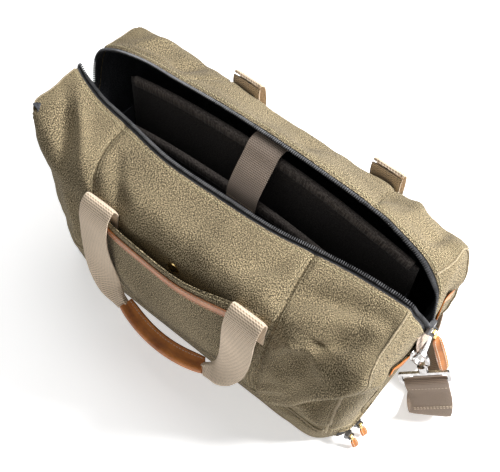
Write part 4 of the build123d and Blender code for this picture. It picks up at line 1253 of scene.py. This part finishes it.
cols, rows_here = end_patch("end_pocket_canvas", 31.5, 116, 57, 0.15, 1.6, canvas_cloth, "canvas",
                            ("end_pocket_panel",), belly=0.8)
end_edges = [surface(cols[1:-1], rows_here[-2], 2.8), surface(cols[1], rows_here[1:-1], 1.9),
             surface(cols[-2], rows_here[1:-1], 1.9)]
stitches("end_pocket_stitches", end_edges, olive_thread, slot="canvas")
end_patch("end_pocket_trim_leather", 107.5, 117.5, 57.5, 1.9, 1.5, tan_leather, "leather",
          ("end_pocket_trim",), steps=(40, 7), belly=0.9)
end_patch("base_zip_tape_cloth", 8.5, 23.5, 87, 0.1, 0.7, tape_cloth, "zip_tape", ("base_zip_tape",),
          steps=(60, 7))
zip_cols = end_columns(np.linspace(-85, 85, 120), 5.5, 0.13, 500)
low_lip, coil_row, high_lip = end_rows([9.0, 16.0, 23.0], BAND, 100)
coil, coil_up = surface(zip_cols, coil_row, 1.1)
even = resampled(np.concatenate([coil, coil_up], axis=1), 1.9)
coil_along = unit(np.gradient(even[:, :3], axis=0))
coil_out = unit(even[:, 3:])
beads("base_zip_coil", even[:, :3], coil_along, unit(np.cross(coil_out, coil_along)), coil_out,
      (1.25, 3.8, 1.6), zip_metal, stands_for=("base_zip_teeth",), slot="zip_metal")
lip_stitches = []
for label, row, tilt in (("low", low_lip, -1), ("high", high_lip, 1)):
    tube(f"base_zip_lip_{label}", surface(zip_cols, row, 0.9)[0], 1.3, canvas_cloth, 8, slot="canvas")
    lip_stitches.append(surface(zip_cols, row + tilt, 0.1))
stitches("base_zip_stitches", lip_stitches, olive_thread, slot="canvas")


# ---- leather pulls --------------------------------------------------------------------------
def leather_pull(name, node, body, slant, thick, belly, facing):
    """A zip's leather pull: two layers sewn round the edge, along its CAD strip. Angles in degrees."""
    low, high = np.array(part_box(node)) / MM
    lean = math.radians(slant)
    down = np.array([math.sin(lean), 0, -math.cos(lean)])
    outward = np.array([math.cos(lean), 0, math.sin(lean)])
    length = (high[2] - low[2] - thick * math.sin(lean)) / math.cos(lean)
    middle = (low + high) / 2
    width = high[1] - low[1]
    s = np.linspace(-0.5, 0.5, 31)
    shape = np.sqrt(np.clip(1 - (np.abs(s) * 2) ** 16, 0.45, 1)) * 1.12
    path = middle + down * (s * length)[:, None] + outward * (belly * (1 - (2 * s) ** 2))[:, None]
    # The leather twists on its link, to face the bag's front.
    twist = math.radians(facing) * np.clip((s + 0.5) / 0.22, 0, 1) ** 0.7
    level = np.array([0.0, 1.0, 0.0])
    across = np.cos(twist)[:, None] * level + np.sin(twist)[:, None] * outward
    face = np.cos(twist)[:, None] * outward - np.sin(twist)[:, None] * level
    section = np.array([strap_section(width * k, thick, 0.0, 9) for k in shape])
    sweep(name, path, across, face, section, tan_leather, body=body, stands_for=(node,), slot="leather")
    sewn = []
    for side in (-1, 1):
        for edge in (-1, 1):
            inset = edge * (width * shape[2:-2] / 2 - 2.0)
            line = path[2:-2] + across[2:-2] * inset[:, None] + face[2:-2] * side * thick * 0.52
            sewn.append((line, face[2:-2] * side))
    stitches(f"{name}_stitches", sewn, cream_thread, pitch=2.9, length=2.1, radius=0.45, body=body,
             slot="leather")


leather_pull("main_pull_leather", "main_zip_pull", "main_pull", 28, 2.4, 1.0, 42)
for number in (1, 2):
    leather_pull(f"base_pull_leather_{number}", f"base_zip_pull_{number}", f"base_pull_{number}",
                 35, 1.8, 0.4, 20)

# ---- shoulder strap and its tabs ------------------------------------------------------------
# The ring's bar, the slants of the hook, its eye and its bow, and the bow's and the eye's distance.
BAR_X, BAR_Z = 222.6, 134.0
HOOK_SLANT, EYE_TURN, BOW_SLANT = (math.radians(degrees) for degrees in (27, 60, 10))
BOW_REACH, EYE_REACH = 22, 41.75
hook_down = np.array([math.sin(HOOK_SLANT), 0, -math.cos(HOOK_SLANT)])
hook_out = np.array([math.cos(HOOK_SLANT), 0, math.sin(HOOK_SLANT)])
eye_across = np.array([0, 1, 0]) * math.cos(EYE_TURN) + hook_out * math.sin(EYE_TURN)
eye_face = np.cross(eye_across, hook_down)
bow = np.array([BAR_X + BOW_REACH * math.sin(BOW_SLANT), 0, BAR_Z - BOW_REACH * math.cos(BOW_SLANT)])
strap_bar = bow + hook_down * EYE_REACH


def about_bar(down, out):
    """A place near the eye's bar, down the hook and out from the strap's face."""
    return tuple(strap_bar + hook_down * down + eye_face * out)


# Behind the bag the strap leans on the back wall.
BACK_RUN = (133.2, 24.7)
BACK_FACING = (0, math.sin(math.radians(55)), math.cos(math.radians(55)))
STRAP_WIDE, STRAP_THICK = 44.0, 2.2
# The end that goes round the eye's bar: down the hook, out from the strap's face, and its facing.
wrap = [
    (34, 1.8, eye_face), (16, 2.0, eye_face), (4.5, 3.3, eye_face),
    (-0.6, 3.4, eye_face - 0.5 * hook_down), (-3.3, 0.2, -hook_down),
    (-0.6, -3.2, -eye_face - 0.5 * hook_down), (5, -3.0, -eye_face), (16, -1.0, -eye_face),
    (34, -1.1, -eye_face),
]
route = [
    ((265.5, -1.6, 31), (0.5, -0.86, 0.12)), ((267, -1.4, 20), (0.54, -0.83, -0.1)),
    ((265, 2.5, 11.6), (0.42, -0.57, -0.7)), ((259.5, 9.5, 8.2), (0.08, 0.02, -1)),
    ((251, 20.5, 11), (0.34, 0.25, -0.91)), ((242.5, 32, 18.8), (0.61, 0.46, -0.64)),
    ((233.5, 45, 23.8), (0.78, 0.59, -0.21)), ((225.5, 60, 24.5), (0.92, 0.39, 0)),
    ((219, 84, 24.5), (0.97, 0.24, 0)), ((212, 102, 24.5), (0.85, 0.53, 0)),
    ((196, 118, 24.5), (0.5, 0.87, 0)), ((170, 126, 24.5), (0.22, 0.95, 0.15)),
    ((140, 131, 24.6), (0.1, 0.9, 0.4)), ((110, *BACK_RUN), BACK_FACING), ((84, *BACK_RUN), BACK_FACING),
    ((50, *BACK_RUN), BACK_FACING),
]
right_half = [(about_bar(down, out), facing) for down, out, facing in wrap] + route
left_half = [((-x, y, z), (-fx, fy, fz)) for (x, y, z), (fx, fy, fz) in right_half]
whole_strap = right_half + [((0, *BACK_RUN), BACK_FACING)] + left_half[::-1]
stations = [(centre, facing, STRAP_WIDE, STRAP_THICK) for centre, facing in whole_strap]
strap("shoulder_webbing", stations, shoulder_webbing, 3.0, stands_for=("shoulder_strap",), slot="webbing")
sewn = []
across_strap = np.linspace(-STRAP_WIDE / 2 + 3, STRAP_WIDE / 2 - 3, 14)[:, None]
for end in (1, -1):
    flip = np.array([end, 1, 1])
    for down in (8.0, 10.5, 41.0, 43.5):
        for face in (-1, 1):
            line = np.array(about_bar(down, 0)) + eye_across * across_strap + eye_face * face * 2.95
            sewn.append((line * flip, np.tile(eye_face * face * flip, (14, 1))))
stitches("shoulder_stitches", sewn, cream_thread, pitch=3.4, length=2.5, radius=0.4, slot="webbing")

for end, hand in ((1, "right"), (-1, "left")):
    tab = [((218.6, 0, 158), (-1, 0, 0)), ((218.9, 0, 150), (-1, 0, 0)), ((219.2, 0, 141), (-1, 0, 0)),
           ((219.3, 0, 134), (-1, 0, 0)), ((222.6, 0, 130.4), (0, 0, -1)), ((226.0, 0, 134), (1, 0, 0)),
           ((224.2, 0, 141), (1, 0, 0)), ((222.4, 0, 150), (1, 0, 0)), ((221.9, 0, 157.5), (1, 0, 0))]
    stations = [((end * x, 0, z), (end * fx, fy, fz), 24.0, 1.9) for (x, _, z), (fx, fy, fz) in tab]
    strap(f"ring_tab_{hand}", stations, tab_webbing, 1.6, stands_for=(f"d_ring_tab_{hand}",),
          slot="webbing")
    sewn = [(np.array([(end * x, y, z) for y in np.linspace(-9.5, 9.5, 8)]), np.array([end, 0, 0.1]))
            for x, z in ((223.4, 153.5), (224.6, 144.5))]
    stitches(f"ring_tab_stitches_{hand}", sewn, cream_thread, pitch=2.8, length=2.0, radius=0.32,
             slot="webbing")

# ---- finishes of the nodes that stay --------------------------------------------------------
FINISHES = {
    hardware_metal: ("d_ring_left", "d_ring_right", "snap_hook_body_left", "snap_hook_body_right",
                     "snap_hook_gate_left", "snap_hook_gate_right", "snap_hook_eye_left",
                     "snap_hook_eye_right", "strap_adjuster"),
    brass_metal: ("pocket_snap_stud", "pocket_snap_socket", "main_zip_link", "base_zip_link_1",
                  "base_zip_link_2"),
    slider_metal: ("main_zip_slider", "base_zip_slider_1", "base_zip_slider_2"),
    tape_cloth: ("loop_patch", "hook_patch"),
    board_finish: ("bottom_board",),
}
for material, nodes in FINISHES.items():
    for node in nodes:
        for held in bpy.data.objects:
            if held.name == node or held.name.startswith(node + "."):
                for material_slot in held.material_slots:
                    material_slot.material = material
                if held.type == "MESH" and not held.material_slots:
                    held.data.materials.append(material)

# ---- stage, light and camera ----------------------------------------------------------------
floor_mesh = bpy.data.meshes.new("floor")
# The floor reaches this far each way, in metres, and lies just under the bag.
FLOOR_REACH, FLOOR_Z = 9, -0.0006
floor_corners = [(x * FLOOR_REACH, y * FLOOR_REACH, FLOOR_Z)
                 for x, y in ((-1, -1), (1, -1), (1, 1), (-1, 1))]
floor_mesh.from_pydata(floor_corners, [], [(0, 1, 2, 3)])
floor_material, _, floor_shader = new_material("floor_finish")
settings(floor_shader, Base_Color=(0.95, 0.95, 0.95, 1), Emission_Color=(1, 1, 1, 1),
         Emission_Strength=0.5, Roughness=0.9)
floor_mesh.materials.append(floor_material)
floor = bpy.data.objects.new("floor", floor_mesh)
bpy.context.scene.collection.objects.link(floor)

world = bpy.data.worlds.new("studio")
world.use_nodes = True
settings(world.node_tree.nodes["Background"], Color=(1, 1, 1, 1), Strength=0.22)
bpy.context.scene.world = world


def soft_light(name, place, towards, size, power):
    """A square area light, in metres and watts."""
    data = bpy.data.lights.new(name, "AREA")
    data.shape = "SQUARE"
    data.size = size
    data.energy = power
    light = bpy.data.objects.new(name, data)
    bpy.context.scene.collection.objects.link(light)
    light.location = place
    light.rotation_euler = (Vector(towards) - Vector(place)).to_track_quat("-Z", "Y").to_euler()


soft_light("key", (1.35, 0.95, 1.2), (0, 0, 0.1), 0.45, 79)
soft_light("overhead", (-0.6, 0.7, 2.1), (0, 0, 0.1), 1.3, 22)

camera_data = bpy.data.cameras.new("camera")
camera_data.sensor_width = 36
camera_data.lens = 58.3
camera = bpy.data.objects.new("camera", camera_data)
bpy.context.scene.collection.objects.link(camera)
azimuth, elevation, roll = math.radians(35.5), math.radians(55.88), math.radians(4.92)
target = np.array([3.56, 2.83, 103.18]) * MM
CAMERA_AWAY = 0.9
level = math.cos(elevation)
back = np.array([math.sin(azimuth) * level, -math.cos(azimuth) * level, math.sin(elevation)])
right = np.array([math.cos(azimuth), math.sin(azimuth), 0])
rise = np.cross(back, right)
turned_right = right * math.cos(roll) + rise * math.sin(roll)
turned_up = rise * math.cos(roll) - right * math.sin(roll)
place = target + CAMERA_AWAY * back
camera.matrix_world = Matrix([
    (turned_right[0], turned_up[0], back[0], place[0]),
    (turned_right[1], turned_up[1], back[1], place[1]),
    (turned_right[2], turned_up[2], back[2], place[2]),
    (0, 0, 0, 1),
])
bpy.context.scene.camera = camera
bpy.context.scene.view_settings.view_transform = "Standard"
